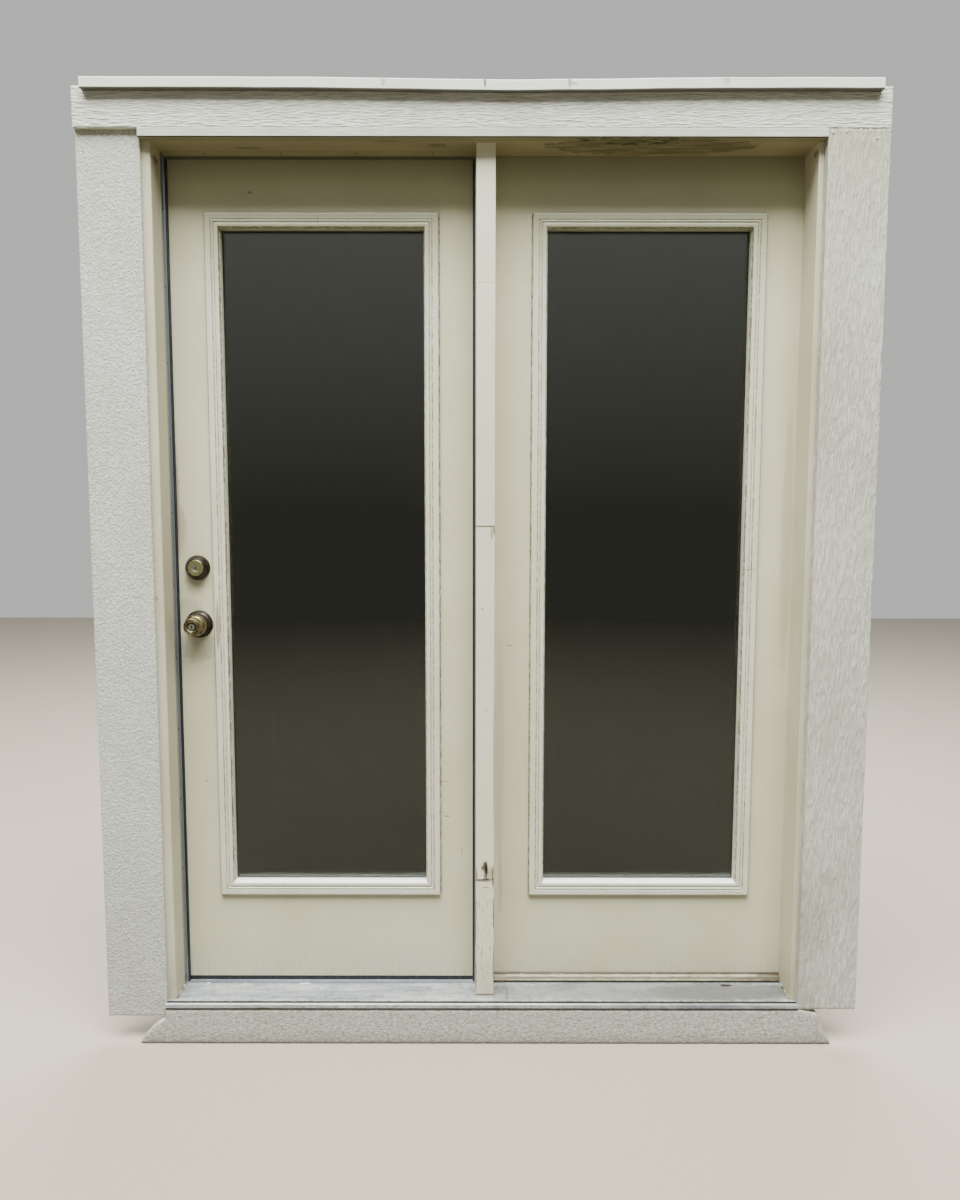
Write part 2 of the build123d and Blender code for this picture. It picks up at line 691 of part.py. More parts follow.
with BuildPart() as leaf_slab:
    add(slab(-1).part)
    with BuildSketch(facing(0)):
        with Locations((LOCK_X, KNOB_Z), (LOCK_X, DEADBOLT_Z)):
            Circle(CROSS_BORE_R)
    extrude(amount=-SLAB_T, mode=Mode.SUBTRACT)
    with BuildSketch(Plane.YZ.offset(LEAF_LOCK_EDGE_X)):
        with Locations((SLAB_MID_Y, KNOB_Z), (SLAB_MID_Y, DEADBOLT_Z)):
            Circle(EDGE_BORE_R)
    extrude(amount=BACKSET, mode=Mode.SUBTRACT)
    with BuildSketch(Plane.YZ.offset(LEAF_LOCK_EDGE_X)):
        with Locations((SLAB_MID_Y, KNOB_Z), (SLAB_MID_Y, DEADBOLT_Z)):
            RectangleRounded(FACE_PLATE_W, FACE_PLATE_H, PLATE_CORNER_R)
    extrude(amount=PLATE_T, mode=Mode.SUBTRACT)
    with Locations(*[(LEAF_HINGE_EDGE_X, BACK_Y, z) for z in HINGE_HEIGHTS]):
        Box(HINGE_LEAF_T, HINGE_LEAF_W, HINGE_H,
            align=(Align.MAX, Align.MAX, Align.CENTER), mode=Mode.SUBTRACT)
save(leaf_slab, "leaf_slab")


# Lite frames: one moulding swept round the glass, outside and inside of the slab

def lite_post_points(side):
    """Post centres round a lite frame: up both stiles, and one in each rail."""
    half_w = LITE_W / 2 - POST_INSET
    half_h = LITE_H / 2 - POST_INSET
    pitch = 2 * half_h / STILE_POSTS
    heights = [-half_h + pitch * (i + 0.5) for i in range(STILE_POSTS)]
    stiles = [(x, z) for x in (-half_w, half_w) for z in heights]
    rails = [(0, -half_h), (0, half_h)]
    return [(side * SLAB_X + x, LITE_MID_Z + z) for x, z in stiles + rails]


def lite_section(plane):
    """Moulding section. Its x runs inwards from the outer edge, its y away from the slab."""
    with BuildSketch(plane) as section:
        with BuildLine():
            Line((0, 0), (1, 6.5))
            ThreePointArc((1, 6.5), (2.4, 9.2), (5, 10.5))
            Polyline((5, 10.5), (15.5, 10.5), (16.3, 9.2), (17.5, 9.2), (18.1, 10.2))
            ThreePointArc((18.1, 10.2), (20.3, 11.4), (22.5, 10.2))
            Polyline((22.5, 10.2), (23.1, 9.2), (24.3, 9.2), (25, 11.2))
            ThreePointArc((25, 11.2), (29.5, 12), (34, 11))
            Polyline(
                (34, 11),
                (34.7, 3),
                (LITE_RAIL, 0.5),
                (LITE_RAIL, -PANE_Y),
                (LITE_RAIL - LITE_LEG_T, -PANE_Y),
                (LITE_RAIL - LITE_LEG_T, 0),
                (0, 0),
            )
        make_face()
    return section


def lite_moulding(side, y, out):
    """Sweep the moulding round one face. It stands away from the slab face at y, the way out."""
    start = Plane(
        origin=(side * SLAB_X, y, LITE_MID_Z - LITE_H / 2), x_dir=(0, 0, 1), z_dir=(-out, 0, 0)
    )
    with BuildPart() as moulding:
        with BuildLine(facing(y)) as path:
            low = LITE_MID_Z - LITE_H / 2
            high = LITE_MID_Z + LITE_H / 2
            left = side * SLAB_X - LITE_W / 2
            right = side * SLAB_X + LITE_W / 2
            Polyline(
                (side * SLAB_X, low), (right, low), (right, high), (left, high), (left, low),
                (side * SLAB_X, low),
            )
        section = lite_section(start).sketch
        sweep(section, path=path.wires()[0], transition=Transition.RIGHT)
    return moulding


def outer_lite_frame(side):
    """Outside moulding, with the posts that take its screws through the cut-out."""
    with BuildPart() as moulding:
        add(lite_moulding(side, 0, -1).part)
        with BuildSketch(facing(0)):
            with Locations(*lite_post_points(side)):
                Rectangle(POST_W, POST_W)
        extrude(amount=-SLAB_T)
    return moulding


def pane(side, y):
    with BuildPart() as glass:
        with BuildSketch(facing(y)):
            with Locations((side * SLAB_X, LITE_MID_Z)):
                Rectangle(GLASS_W, GLASS_H)
        extrude(amount=-PANE_T)
    return glass


def spacer(side):
    """Aluminium bar that holds the two panes apart, set in from their edges."""
    outer_w = GLASS_W - 2 * SPACER_INSET
    outer_h = GLASS_H - 2 * SPACER_INSET
    with BuildPart() as bar:
        with BuildSketch(facing(PANE_Y + PANE_T)):
            with Locations((side * SLAB_X, LITE_MID_Z)):
                Rectangle(outer_w, outer_h)
                Rectangle(outer_w - 2 * SPACER_W, outer_h - 2 * SPACER_W, mode=Mode.SUBTRACT)
        extrude(amount=-PANE_GAP)
    return bar


for name, side in (("fixed", 1), ("leaf", -1)):
    save(outer_lite_frame(side), f"{name}_lite_frame_outer")
    save(lite_moulding(side, SLAB_T, 1), f"{name}_lite_frame_inner")
    save(pane(side, PANE_Y), f"{name}_pane_outer")
    save(pane(side, PANE_Y + PANE_T + PANE_GAP), f"{name}_pane_inner")
    save(spacer(side), f"{name}_glass_spacer")

# Caulk bead that seals the fixed slab to the sill, laid in two runs
with BuildPart() as fixed_bead:
    with BuildSketch(Plane.YZ.offset(MULLION_STOP_W / 2)):
        with BuildLine():
            Polyline(
                (-BEAD_OUT, deck_z(-BEAD_OUT)),
                (0, DECK_H),
                (BEAD_IN, DECK_H),
                (BEAD_IN, SLAB_Z),
                (0, SLAB_Z),
                (0, SLAB_Z + BEAD_UP),
            )
            ThreePointArc((0, SLAB_Z + BEAD_UP), (-4.6, SLAB_Z + 9), (-5.2, SLAB_Z + 4))
            ThreePointArc((-5.2, SLAB_Z + 4), (-BEAD_OUT + 1, SLAB_Z), (-BEAD_OUT, deck_z(-BEAD_OUT)))
        make_face()
    extrude(amount=RIGHT_STOP_X - MULLION_STOP_W / 2)
save(fixed_bead, "fixed_bottom_bead")

# Vinyl sweep under the working leaf: a base with three fins that stop just above the deck
sweep_l = LEAF_HINGE_EDGE_X - LEAF_LOCK_EDGE_X
with BuildPart() as leaf_sweep:
    with BuildSketch(Plane.YZ.offset(LEAF_LOCK_EDGE_X)):
        with Locations((SWEEP_INSET, SLAB_Z)):
            Rectangle(SLAB_T - 2 * SWEEP_INSET, SWEEP_BASE_T, align=(Align.MIN, Align.MAX))
        for y in (SWEEP_INSET, SLAB_MID_Y, SLAB_T - SWEEP_INSET - SWEEP_FIN_T):
            with Locations((y, SLAB_Z)):
                Rectangle(SWEEP_FIN_T, SWEEP_GAP - SWEEP_CLEAR, align=(Align.MIN, Align.MAX))
    extrude(amount=sweep_l)
save(leaf_sweep, "leaf_sweep")


# Lock cases: a face plate, a tube that guides the bolt and a flat tail round the spindle

def lock_case(z, bolt_t, bolt_h, bolt_l):
    tail_x = LOCK_X - CASE_TAIL_L
    with BuildPart() as case:
        with BuildSketch(Plane.YZ.offset(LEAF_LOCK_EDGE_X)):
            with Locations((SLAB_MID_Y, z)):
                RectangleRounded(FACE_PLATE_W, FACE_PLATE_H, PLATE_CORNER_R)
        extrude(amount=PLATE_T)
        with BuildSketch(Plane.YZ.offset(LEAF_LOCK_EDGE_X)):
            with Locations((SLAB_MID_Y, z)):
                Circle(CASE_R)
        extrude(amount=tail_x - LEAF_LOCK_EDGE_X)
        with BuildSketch(Plane.YZ.offset(tail_x)):
            with Locations((SLAB_MID_Y, z)):
                Rectangle(CASE_TAIL_T, CASE_TAIL_H)
        extrude(amount=2 * CASE_TAIL_L)
        with BuildSketch(Plane.YZ.offset(LEAF_LOCK_EDGE_X)):
            with Locations((SLAB_MID_Y, z)):
                Rectangle(bolt_t + 2 * BOLT_FIT, bolt_h + 2 * BOLT_FIT)
        extrude(amount=BOLT_SET_BACK + bolt_l + BOLT_FIT, mode=Mode.SUBTRACT)
        with BuildSketch(facing(0)):
            with Locations((LOCK_X, z)):
                Circle(HUB_HOLE_R)
        extrude(amount=-SLAB_T, mode=Mode.SUBTRACT)
    return case


latch_case = lock_case(KNOB_Z, LATCH_T, LATCH_H, LATCH_L)
save(latch_case, "latch_case")
deadbolt_case = lock_case(DEADBOLT_Z, BOLT_T, BOLT_H, BOLT_L)
save(deadbolt_case, "deadbolt_case")

# Bolts, both drawn in. The latch's bevel faces the stop, so that it rides over the strike
bolt_tip_x = LEAF_LOCK_EDGE_X + BOLT_SET_BACK
with BuildPart() as latch_bolt:
    with Locations((bolt_tip_x, SLAB_MID_Y, KNOB_Z)):
        Box(LATCH_L, LATCH_T, LATCH_H, align=(Align.MIN, Align.CENTER, Align.CENTER))
    tip = latch_bolt.faces().sort_by(Axis.X)[0]
    bevelled = tip.edges().sort_by(Axis.Y)[0]
    chamfer(bevelled, length=LATCH_BEVEL, length2=LATCH_T - 2)
save(latch_bolt, "latch_bolt")

with BuildPart() as deadbolt_bolt:
    with Locations((bolt_tip_x, SLAB_MID_Y, DEADBOLT_Z)):
        Box(BOLT_L, BOLT_T, BOLT_H, align=(Align.MIN, Align.CENTER, Align.CENTER))
    chamfer(deadbolt_bolt.faces().sort_by(Axis.X)[0].edges(), 1.5)
save(deadbolt_bolt, "deadbolt_bolt")


# Turned lock trim. Each outline gives radius and distance out from the slab's face

def lock_turning(z, out, outline):
    """Turn a closed outline about the lock's axis."""
    face_y = 0 if out < 0 else SLAB_T
    with BuildPart() as turned:
        with BuildSketch(Plane(origin=(LOCK_X, 0, z))):
            with BuildLine():
                Polyline(*[(r, face_y + out * d) for r, d in outline], close=True)
            make_face()
        revolve(axis=Axis((LOCK_X, 0, z), (0, 1, 0)))
    return turned


rose_hole = KNOB_SHANK_R + RUNNING_FIT
rose_outline = [
    (ROSE_R, 0),
    (ROSE_R, 3),
    (ROSE_R - 6, 10),
    (rose_hole, ROSE_H),
    (rose_hole, ROSE_H - ROSE_WALL),
    (ROSE_R - 7, 10 - ROSE_WALL),
    (ROSE_R - ROSE_WALL, 0),
]
save(lock_turning(KNOB_Z, -1, rose_outline), "knob_rose_outside")
save(lock_turning(KNOB_Z, 1, rose_outline), "knob_rose_inside")


def knob_outline(bore_r, bore_l):
    """Knob with a shank through the rose, a stepped face and a bore for what turns in it."""
    return [
        (0, -KNOB_SHANK_IN),
        (KNOB_SHANK_R, -KNOB_SHANK_IN),
        (KNOB_SHANK_R, 16),
        (KNOB_R - 3, 22),
        (KNOB_R, 31),
        (KNOB_R - 2.6, 43),
        (KNOB_FACE_R + 1, 47),
        (KNOB_FACE_R, KNOB_L),
        (12, KNOB_L),
        (bore_r, KNOB_L - 5),
        (bore_r, KNOB_L - 5 - bore_l),
        (0, KNOB_L - 5 - bore_l),
    ]


# The spindle is fast in the outside knob and slides into a socket in the inside one
plug_bore_l = KNOB_PLUG_L + RUNNING_FIT - 4
with BuildPart() as outside_knob:
    add(lock_turning(KNOB_Z, -1, knob_outline(KNOB_PLUG_R + RUNNING_FIT, plug_bore_l)).part)
    with BuildSketch(facing(-KNOB_SHANK_IN)):
        with Locations((LOCK_X, KNOB_Z)):
            Rectangle(SPINDLE_W, SPINDLE_W)
    extrude(amount=-(SLAB_T + SPINDLE_SOCKET))
save(outside_knob, "outside_knob")
button_bore_l = BUTTON_L - BUTTON_OUT - 5 + RUNNING_FIT
with BuildPart() as inside_knob:
    add(lock_turning(KNOB_Z, 1, knob_outline(BUTTON_R + RUNNING_FIT, button_bore_l)).part)
    with BuildSketch(facing(SLAB_T - KNOB_SHANK_IN)):
        with Locations((LOCK_X, KNOB_Z)):
            Rectangle(SPINDLE_W + 2 * PIN_FIT, SPINDLE_W + 2 * PIN_FIT)
    extrude(amount=-(KNOB_SHANK_IN + SPINDLE_SOCKET), mode=Mode.SUBTRACT)
save(inside_knob, "inside_knob")


def keyed_plug(z, radius, face_d, length):
    """Lock plug with its keyway, its face standing face_d out from the slab."""
    with BuildPart() as plug:
        with BuildSketch(facing(-face_d)):
            with Locations((LOCK_X, z)):
                Circle(radius)
        extrude(amount=-length)
        with BuildSketch(facing(-face_d)):
            with Locations((LOCK_X, z)):
                Rectangle(KEYWAY_W, KEYWAY_H)
        extrude(amount=-KEYWAY_D, mode=Mode.SUBTRACT)
    return plug


knob_plug = keyed_plug(KNOB_Z, KNOB_PLUG_R, KNOB_L - 1, KNOB_PLUG_L)
save(knob_plug, "knob_plug")

# Turn button of the inside knob, with a wing to grip
with BuildPart() as lock_button:
    with BuildSketch(facing(SLAB_T + KNOB_L + BUTTON_OUT)):
        with Locations((LOCK_X, KNOB_Z)):
            Circle(BUTTON_R)
    extrude(amount=BUTTON_L)
    with BuildSketch(facing(SLAB_T + KNOB_L + BUTTON_OUT)):
        with Locations((LOCK_X, KNOB_Z)):
            Rectangle(2.6, 2 * BUTTON_R - 1.5)
    extrude(amount=-4)
save(lock_button, "lock_button")

# Deadbolt outside: a cone collar round a brass cylinder, and the plug with its tailpiece
collar_hole = CYLINDER_R + RUNNING_FIT
collar_outline = [
    (collar_hole, 0),
    (COLLAR_R, 0),
    (COLLAR_R, 3.5),
    (COLLAR_FACE_R + 1, COLLAR_H - 1),
    (COLLAR_FACE_R, COLLAR_H),
    (collar_hole, COLLAR_H),
]
save(lock_turning(DEADBOLT_Z, -1, collar_outline), "deadbolt_collar")

plug_hole = DEADBOLT_PLUG_R + RUNNING_FIT
cylinder_outline = [
    (plug_hole, -CYLINDER_IN),
    (CYLINDER_R, -CYLINDER_IN),
    (CYLINDER_R, COLLAR_H + 1),
    (9, COLLAR_H + 1),
    (plug_hole, COLLAR_H),
]
save(lock_turning(DEADBOLT_Z, -1, cylinder_outline), "deadbolt_cylinder")

with BuildPart() as deadbolt_plug:
    add(keyed_plug(DEADBOLT_Z, DEADBOLT_PLUG_R, COLLAR_H, COLLAR_H + CYLINDER_IN).part)
    with BuildSketch(facing(CYLINDER_IN)):
        with Locations((LOCK_X, DEADBOLT_Z)):
            Rectangle(TAILPIECE_T, TAILPIECE_W)
    extrude(amount=-(SLAB_T - CYLINDER_IN - 2))
save(deadbolt_plug, "deadbolt_plug")

# Deadbolt inside: a round plate and the thumbturn, whose shaft takes the tailpiece
shaft_hole = TURN_SHAFT_R + RUNNING_FIT
plate_outline = [
    (shaft_hole, 0),
    (COLLAR_R, 0),
    (COLLAR_R, 2.5),
    (COLLAR_R - 3.5, INNER_PLATE_H),
    (shaft_hole, INNER_PLATE_H),
]
save(lock_turning(DEADBOLT_Z, 1, plate_outline), "deadbolt_inner_plate")

with BuildPart() as thumbturn:
    with BuildSketch(facing(SLAB_T - TURN_SHAFT_IN)):
        with Locations((LOCK_X, DEADBOLT_Z)):
            Circle(TURN_SHAFT_R)
    extrude(amount=-(TURN_SHAFT_IN + INNER_PLATE_H + 4))
    with BuildSketch(facing(SLAB_T + INNER_PLATE_H + 2)):
        with Locations((LOCK_X, DEADBOLT_Z)):
            SlotOverall(TURN_L, TURN_T, rotation=90)
    extrude(amount=-TURN_H)
    with BuildSketch(facing(SLAB_T - TURN_SHAFT_IN)):
        with Locations((LOCK_X, DEADBOLT_Z)):
            Rectangle(TAILPIECE_T + 2 * RUNNING_FIT, TAILPIECE_W + 2 * RUNNING_FIT)
    extrude(amount=-(TURN_SHAFT_IN + 2), mode=Mode.SUBTRACT)
save(thumbturn, "thumbturn")
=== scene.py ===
"""Centre-hinged patio doors with their frame: the looks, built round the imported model."""
import math

import bmesh
import bpy
from mathutils import Matrix, Vector, noise


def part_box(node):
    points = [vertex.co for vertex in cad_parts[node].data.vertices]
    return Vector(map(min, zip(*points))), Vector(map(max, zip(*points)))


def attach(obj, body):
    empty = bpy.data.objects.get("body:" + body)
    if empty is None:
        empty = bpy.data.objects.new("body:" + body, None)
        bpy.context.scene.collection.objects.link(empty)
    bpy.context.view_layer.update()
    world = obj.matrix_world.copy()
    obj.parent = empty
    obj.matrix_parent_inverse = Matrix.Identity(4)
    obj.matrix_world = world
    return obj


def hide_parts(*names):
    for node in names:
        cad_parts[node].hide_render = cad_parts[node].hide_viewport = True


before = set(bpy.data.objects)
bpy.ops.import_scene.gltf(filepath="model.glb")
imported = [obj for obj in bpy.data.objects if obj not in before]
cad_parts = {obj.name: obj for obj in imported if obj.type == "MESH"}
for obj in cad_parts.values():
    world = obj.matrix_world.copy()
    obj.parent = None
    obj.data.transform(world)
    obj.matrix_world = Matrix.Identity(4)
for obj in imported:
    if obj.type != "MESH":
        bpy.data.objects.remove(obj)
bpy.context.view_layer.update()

# Camera, where the photograph was taken from: about 2.2 m in front of the doors and 1.3 m above the
# apron's foot, looking a little down. Its lens gives the photograph's frame of 960 x 1200.
CAMERA_PLACE = (-0.0131, -2.2751, 1.2369)
CAMERA_DOWN = 0.095524
CAMERA_TURN = -0.00021
CAMERA_TILT = 0.00116
CAMERA_LENS = 27.75
CAMERA_SENSOR = 36.0
camera_data = bpy.data.cameras.new("camera")
camera_data.lens = CAMERA_LENS
camera_data.sensor_width = CAMERA_SENSOR
camera = bpy.data.objects.new("camera", camera_data)
camera.matrix_world = (
    Matrix.Translation(CAMERA_PLACE)
    @ Matrix.Rotation(CAMERA_TURN, 4, "Z")
    @ Matrix.Rotation(math.pi / 2 - CAMERA_DOWN, 4, "X")
    @ Matrix.Rotation(CAMERA_TILT, 4, "Z")
)
bpy.context.scene.collection.objects.link(camera)
bpy.context.scene.camera = camera

# Studio floor, no part of the doors: pale and plain, with one step that carries the sill. The apron
# stands in front of the step.
FLOOR_Z = -0.0655
FLOOR_REACH = 9.0
STEP_X = 0.785
STEP_FRONT = -0.088
STEP_BACK = 0.3


def linear(colour):
    """A colour given as sRGB hex, such as "#d8d2bc", as linear red, green, blue and alpha."""
    parts = [int(colour[i:i + 2], 16) / 255 for i in (1, 3, 5)]
    return [p / 12.92 if p <= 0.04045 else ((p + 0.055) / 1.055) ** 2.4 for p in parts] + [1.0]


def node(tree, kind, sockets=None, **settings):
    """Add a node and give its outputs. A socket takes a value or another node's output."""
    made = tree.nodes.new(kind)
    for name, value in settings.items():
        setattr(made, name, value)
    for name, value in (sockets or {}).items():
        if isinstance(value, bpy.types.NodeSocket):
            tree.links.new(value, made.inputs[name])
        else:
            made.inputs[name].default_value = value
    return made.outputs


def coat(tree, below, over, amount, share=None):
    """Lay a colour over another, as far as an amount, or a share of that amount, says."""
    if share is not None:
        amount = node(tree, "ShaderNodeMath", {0: amount, 1: share}, operation="MULTIPLY")[0]
    below, over = (linear(c) if isinstance(c, str) else c for c in (below, over))
    return node(tree, "ShaderNodeMix", {0: amount, 6: below, 7: over}, data_type="RGBA")[2]


def new_material(name):
    """An empty material with its node tree, its principled shader and the object's own coordinates."""
    material = bpy.data.materials.new(name)
    material.use_nodes = True
    tree = material.node_tree
    return material, tree, tree.nodes["Principled BSDF"], node(tree, "ShaderNodeTexCoord")["Object"]


def finish(tree, shader, colour, roughness, metallic=0.0, relief=None, strength=0.5, depth=0.0004):
    """Join colour, roughness and fine relief to a shader. A roughness may be an even number, or a
    pattern with the roughness where it is 0 and where it is 1."""
    if isinstance(roughness, tuple):
        pattern, at_0, at_1 = roughness
        roughness = node(tree, "ShaderNodeMapRange", {"Value": pattern, "To Min": at_0, "To Max": at_1})[0]
    for name, value in (("Base Color", colour), ("Roughness", roughness), ("Metallic", metallic)):
        if isinstance(value, bpy.types.NodeSocket):
            tree.links.new(value, shader.inputs[name])
        else:
            shader.inputs[name].default_value = value
    if relief is not None:
        bump = node(tree, "ShaderNodeBump", {"Height": relief, "Strength": strength, "Distance": depth})[0]
        tree.links.new(bump, shader.inputs["Normal"])


def link_mesh(name, bm):
    """Make a bmesh an object of the scene, with its faces turned outwards."""
    bmesh.ops.recalc_face_normals(bm, faces=bm.faces)
    mesh = bpy.data.meshes.new(name)
    bm.to_mesh(mesh)
    bm.free()
    made = bpy.data.objects.new(name, mesh)
    bpy.context.scene.collection.objects.link(made)
    return made


floor_bm = bmesh.new()
bmesh.ops.create_grid(floor_bm, x_segments=1, y_segments=1, size=FLOOR_REACH)
bmesh.ops.translate(floor_bm, verts=floor_bm.verts, vec=(0, 0, FLOOR_Z))
step = bmesh.ops.create_cube(floor_bm, size=1.0)["verts"]
bmesh.ops.scale(floor_bm, verts=step, vec=(2 * STEP_X, STEP_BACK - STEP_FRONT, -FLOOR_Z))
bmesh.ops.translate(floor_bm, verts=step, vec=(0, (STEP_BACK + STEP_FRONT) / 2, FLOOR_Z / 2))
floor = link_mesh("floor", floor_bm)
# Plain matt studio floor: one pale warm grey, which sends less of the light back up than it shows
floor_material, tree, shader, place = new_material("plain_floor")
seen = node(tree, "ShaderNodeLightPath")["Is Camera Ray"]
finish(tree, shader, coat(tree, "#6a6457", "#b5a896", seen), 0.85)
floor.data.materials.append(floor_material)

# Studio room: it lights from its pale ceiling and dims towards its sides. What shines reflects a room
# that is brighter above, and behind the doors a plain pale grey shows. One wide soft light stands
# high in front and a weaker one high behind.
ROOM_STRENGTH = 0.8


def fade(tree, place, axis, start, end, first=0.0, last=1.0):
    """An amount that goes evenly from its first to its last value between two places on an axis."""
    along = node(tree, "ShaderNodeSeparateXYZ", {0: place})[axis]
    return node(tree, "ShaderNodeMapRange", {
        "Value": along, "From Min": start, "From Max": end, "To Min": first, "To Max": last})[0]


world = bpy.data.worlds.new("studio")
bpy.context.scene.world = world
world.use_nodes = True
room = world.node_tree
around = node(room, "ShaderNodeTexCoord")["Generated"]
ray = node(room, "ShaderNodeLightPath")
lit = coat(room, "#1b1e1c", "#b9c0c6", fade(room, around, "Z", 0.05, 0.75))
shine = coat(room, "#8d8c80", "#eeebe2", fade(room, around, "Z", 0.0, 0.34))
inside = coat(room, lit, shine, ray["Is Glossy Ray"])
backdrop = coat(room, inside, "#d9dad8", ray["Is Camera Ray"])
room.links.new(backdrop, room.nodes["Background"].inputs["Color"])
room.nodes["Background"].inputs["Strength"].default_value = ROOM_STRENGTH


def soft_light(name, place, aim, size, power, colour):
    """A rectangular soft light at one place, turned to another."""
    data = bpy.data.lights.new(name, "AREA")
    data.shape = "RECTANGLE"
    data.size, data.size_y = size
    data.energy = power
    data.color = linear(colour)[:3]
    lamp = bpy.data.objects.new(name, data)
    lamp.location = place
    lamp.rotation_euler = (Vector(aim) - Vector(place)).to_track_quat("-Z", "Y").to_euler()
    bpy.context.scene.collection.objects.link(lamp)


soft_light("overhead", (-0.3, -2.9, 7.3), aim=(0, -0.3, 1.1), size=(7.0, 4.0), power=2050, colour="#f6faf6")
soft_light("behind", (0.4, 2.9, 5.4), aim=(0, 0, 1.0), size=(4.0, 2.2), power=480, colour="#f8fbff")

# Jambs: softwood boards with a rabbet for the slabs, painted on site with many coats of cream latex.
# The brush was drawn along the boards. Rain splash has greyed their feet, and under the head the
# paint has come off in thin patches.
MM = 0.001
SPOT_RIM = 1.1
SPLASH_DIRT = "#8f8878"
SHADED_FROM_Z = 1.76
SHADED_FULLY_Z = 2.04
SOFFIT_BARE = "#6f6646"
SOFFIT_Z = 2071
UPRIGHT_BRUSH = (2.5, 2.5, 60)
LEVEL_BRUSH = (60, 2.5, 2.5)


def spot(tree, place, middle, reach, ragged=0.35, grain=60.0, soft=0.35):
    """1 inside a soft-edged spot, 0 outside: its middle and half sizes in mm, its edge broken up."""
    middle, scale = [m * MM for m in middle], [1 / (r * MM) for r in reach]
    away = node(tree, "ShaderNodeVectorMath", {0: place, 1: middle}, operation="SUBTRACT")[0]
    away = node(tree, "ShaderNodeVectorMath", {0: away, 1: scale}, operation="MULTIPLY")[0]
    away = node(tree, "ShaderNodeVectorMath", {0: away}, operation="LENGTH")["Value"]
    rough = node(tree, "ShaderNodeTexNoise", {"Vector": place, "Scale": grain, "Detail": 4.0})[0]
    edge = node(tree, "ShaderNodeMath", {0: rough, 1: 2 * ragged, 2: away}, operation="MULTIPLY_ADD")[0]
    rim = SPOT_RIM + ragged
    return node(tree, "ShaderNodeMapRange", {
        "Value": edge, "From Min": rim - soft, "From Max": rim, "To Min": 1.0, "To Max": 0.0})[0]


def marked(tree, place, colour, marks, grain=60.0):
    """Lay marks over a colour. Each has its middle and half sizes in mm, its colour and its strength."""
    for middle, reach, shade, strength in marks:
        colour = coat(tree, colour, shade, spot(tree, place, middle, reach, grain=grain), strength)
    return colour


def stretched(tree, place, size, detail=3.0, roughness=0.6):
    """Noise whose features have one size in mm along each axis."""
    per_metre = [1 / (s * MM) for s in size]
    scaled = node(tree, "ShaderNodeVectorMath", {0: place, 1: per_metre}, operation="MULTIPLY")[0]
    return node(tree, "ShaderNodeTexNoise", {
        "Vector": scaled, "Scale": 1.0, "Detail": detail, "Roughness": roughness})[0]


def patches(tree, place, size, share=(0.0, 1.0), amount=(0.0, 1.0), where=None, detail=3.0, roughness=0.6):
    """How much shows of what comes in patches of a size in mm. It grows from the first amount to the
    second between the two levels of its noise that share names, and where can keep it to a place."""
    shown = node(tree, "ShaderNodeMapRange", {
        "Value": stretched(tree, place, size, detail, roughness),
        "From Min": share[0], "From Max": share[1], "To Min": amount[0], "To Max": amount[1]})[0]
    if where is not None:
        shown = node(tree, "ShaderNodeMath", {0: shown, 1: where}, operation="MULTIPLY")[0]
    return shown


def dress(material, *names):
    """Give CAD nodes a material in place of their plain one."""
    for name in names:
        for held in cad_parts[name].material_slots:
            held.material = material


def painted_head_shade(tree, place, colour, strength):
    """Painted shade just under the head: a deeper olive cream that grows towards the top."""
    return coat(tree, colour, "#8d8f65", fade(tree, place, "Z", SHADED_FROM_Z, SHADED_FULLY_Z, 0.0, strength))


def brushed_paint(name, fresh, old, brush, marks, shaded=0.0):
    """Latex paint laid with a brush: slow changes of tone, specks of dirt, and fine brush lines, drawn
    coarse enough to show. Painted shade deepens what stands back under the head, darkest at its top."""
    material, tree, shader, place = new_material(name)
    colour = coat(tree, fresh, old, patches(tree, place, (180, 180, 260), (0.35, 0.7), detail=4.0))
    specks = patches(tree, place, (2.2, 2.2, 3.0), (0.70, 0.78), (0.0, 0.5), detail=2.0)
    colour = coat(tree, colour, "#6d6552", specks)
    foot = fade(tree, place, "Z", 0.04, 0.16, 0.75, 0.0)
    colour = coat(tree, colour, SPLASH_DIRT, patches(tree, place, (9, 9, 30), where=foot, detail=5.0))
    colour = marked(tree, place, colour, marks)
    # Painted shade under the head, and a darker painted shade at the very top
    if shaded:
        colour = painted_head_shade(tree, place, colour, shaded)
        colour = coat(tree, colour, "#35331a", fade(tree, place, "Z", 2.0, 2.07, 0.0, 0.42))
    lines = stretched(tree, place, brush, detail=4.0)
    finish(tree, shader, colour, (lines, 0.38, 0.62), relief=lines)
    return material


def painted_over(material):
    """A finished material's tree, shader, coordinates and colour, to lay one more coat over it."""
    tree = material.node_tree
    shader = tree.nodes["Principled BSDF"]
    place = node(tree, "ShaderNodeTexCoord")["Object"]
    return tree, shader, place, shader.inputs["Base Color"].links[0].from_socket


def peeled_patch(material):
    """One long patch over the right slab where the paint has come away, streaked as it was brushed. It
    is seen from far below, so its streaks and flakes are drawn coarse enough to show."""
    tree, shader, place, colour = painted_over(material)
    patch = spot(tree, place, (380, -62, SOFFIT_Z), (225, 46, 5), ragged=0.3, grain=45.0, soft=0.06)
    bare = patches(tree, place, (95, 15, 15), (0.42, 0.54), (0.3, 0.95), patch, detail=5.0, roughness=0.7)
    colour = coat(tree, colour, SOFFIT_BARE, bare)
    rim = spot(tree, place, (330, -92, SOFFIT_Z), (160, 26, 5), ragged=0.4)
    flakes = patches(tree, place, (26, 12, 12), (0.53, 0.58), (0.0, 0.9), rim, detail=4.0)
    tree.links.new(coat(tree, colour, "#2e2716", flakes), shader.inputs["Base Color"])


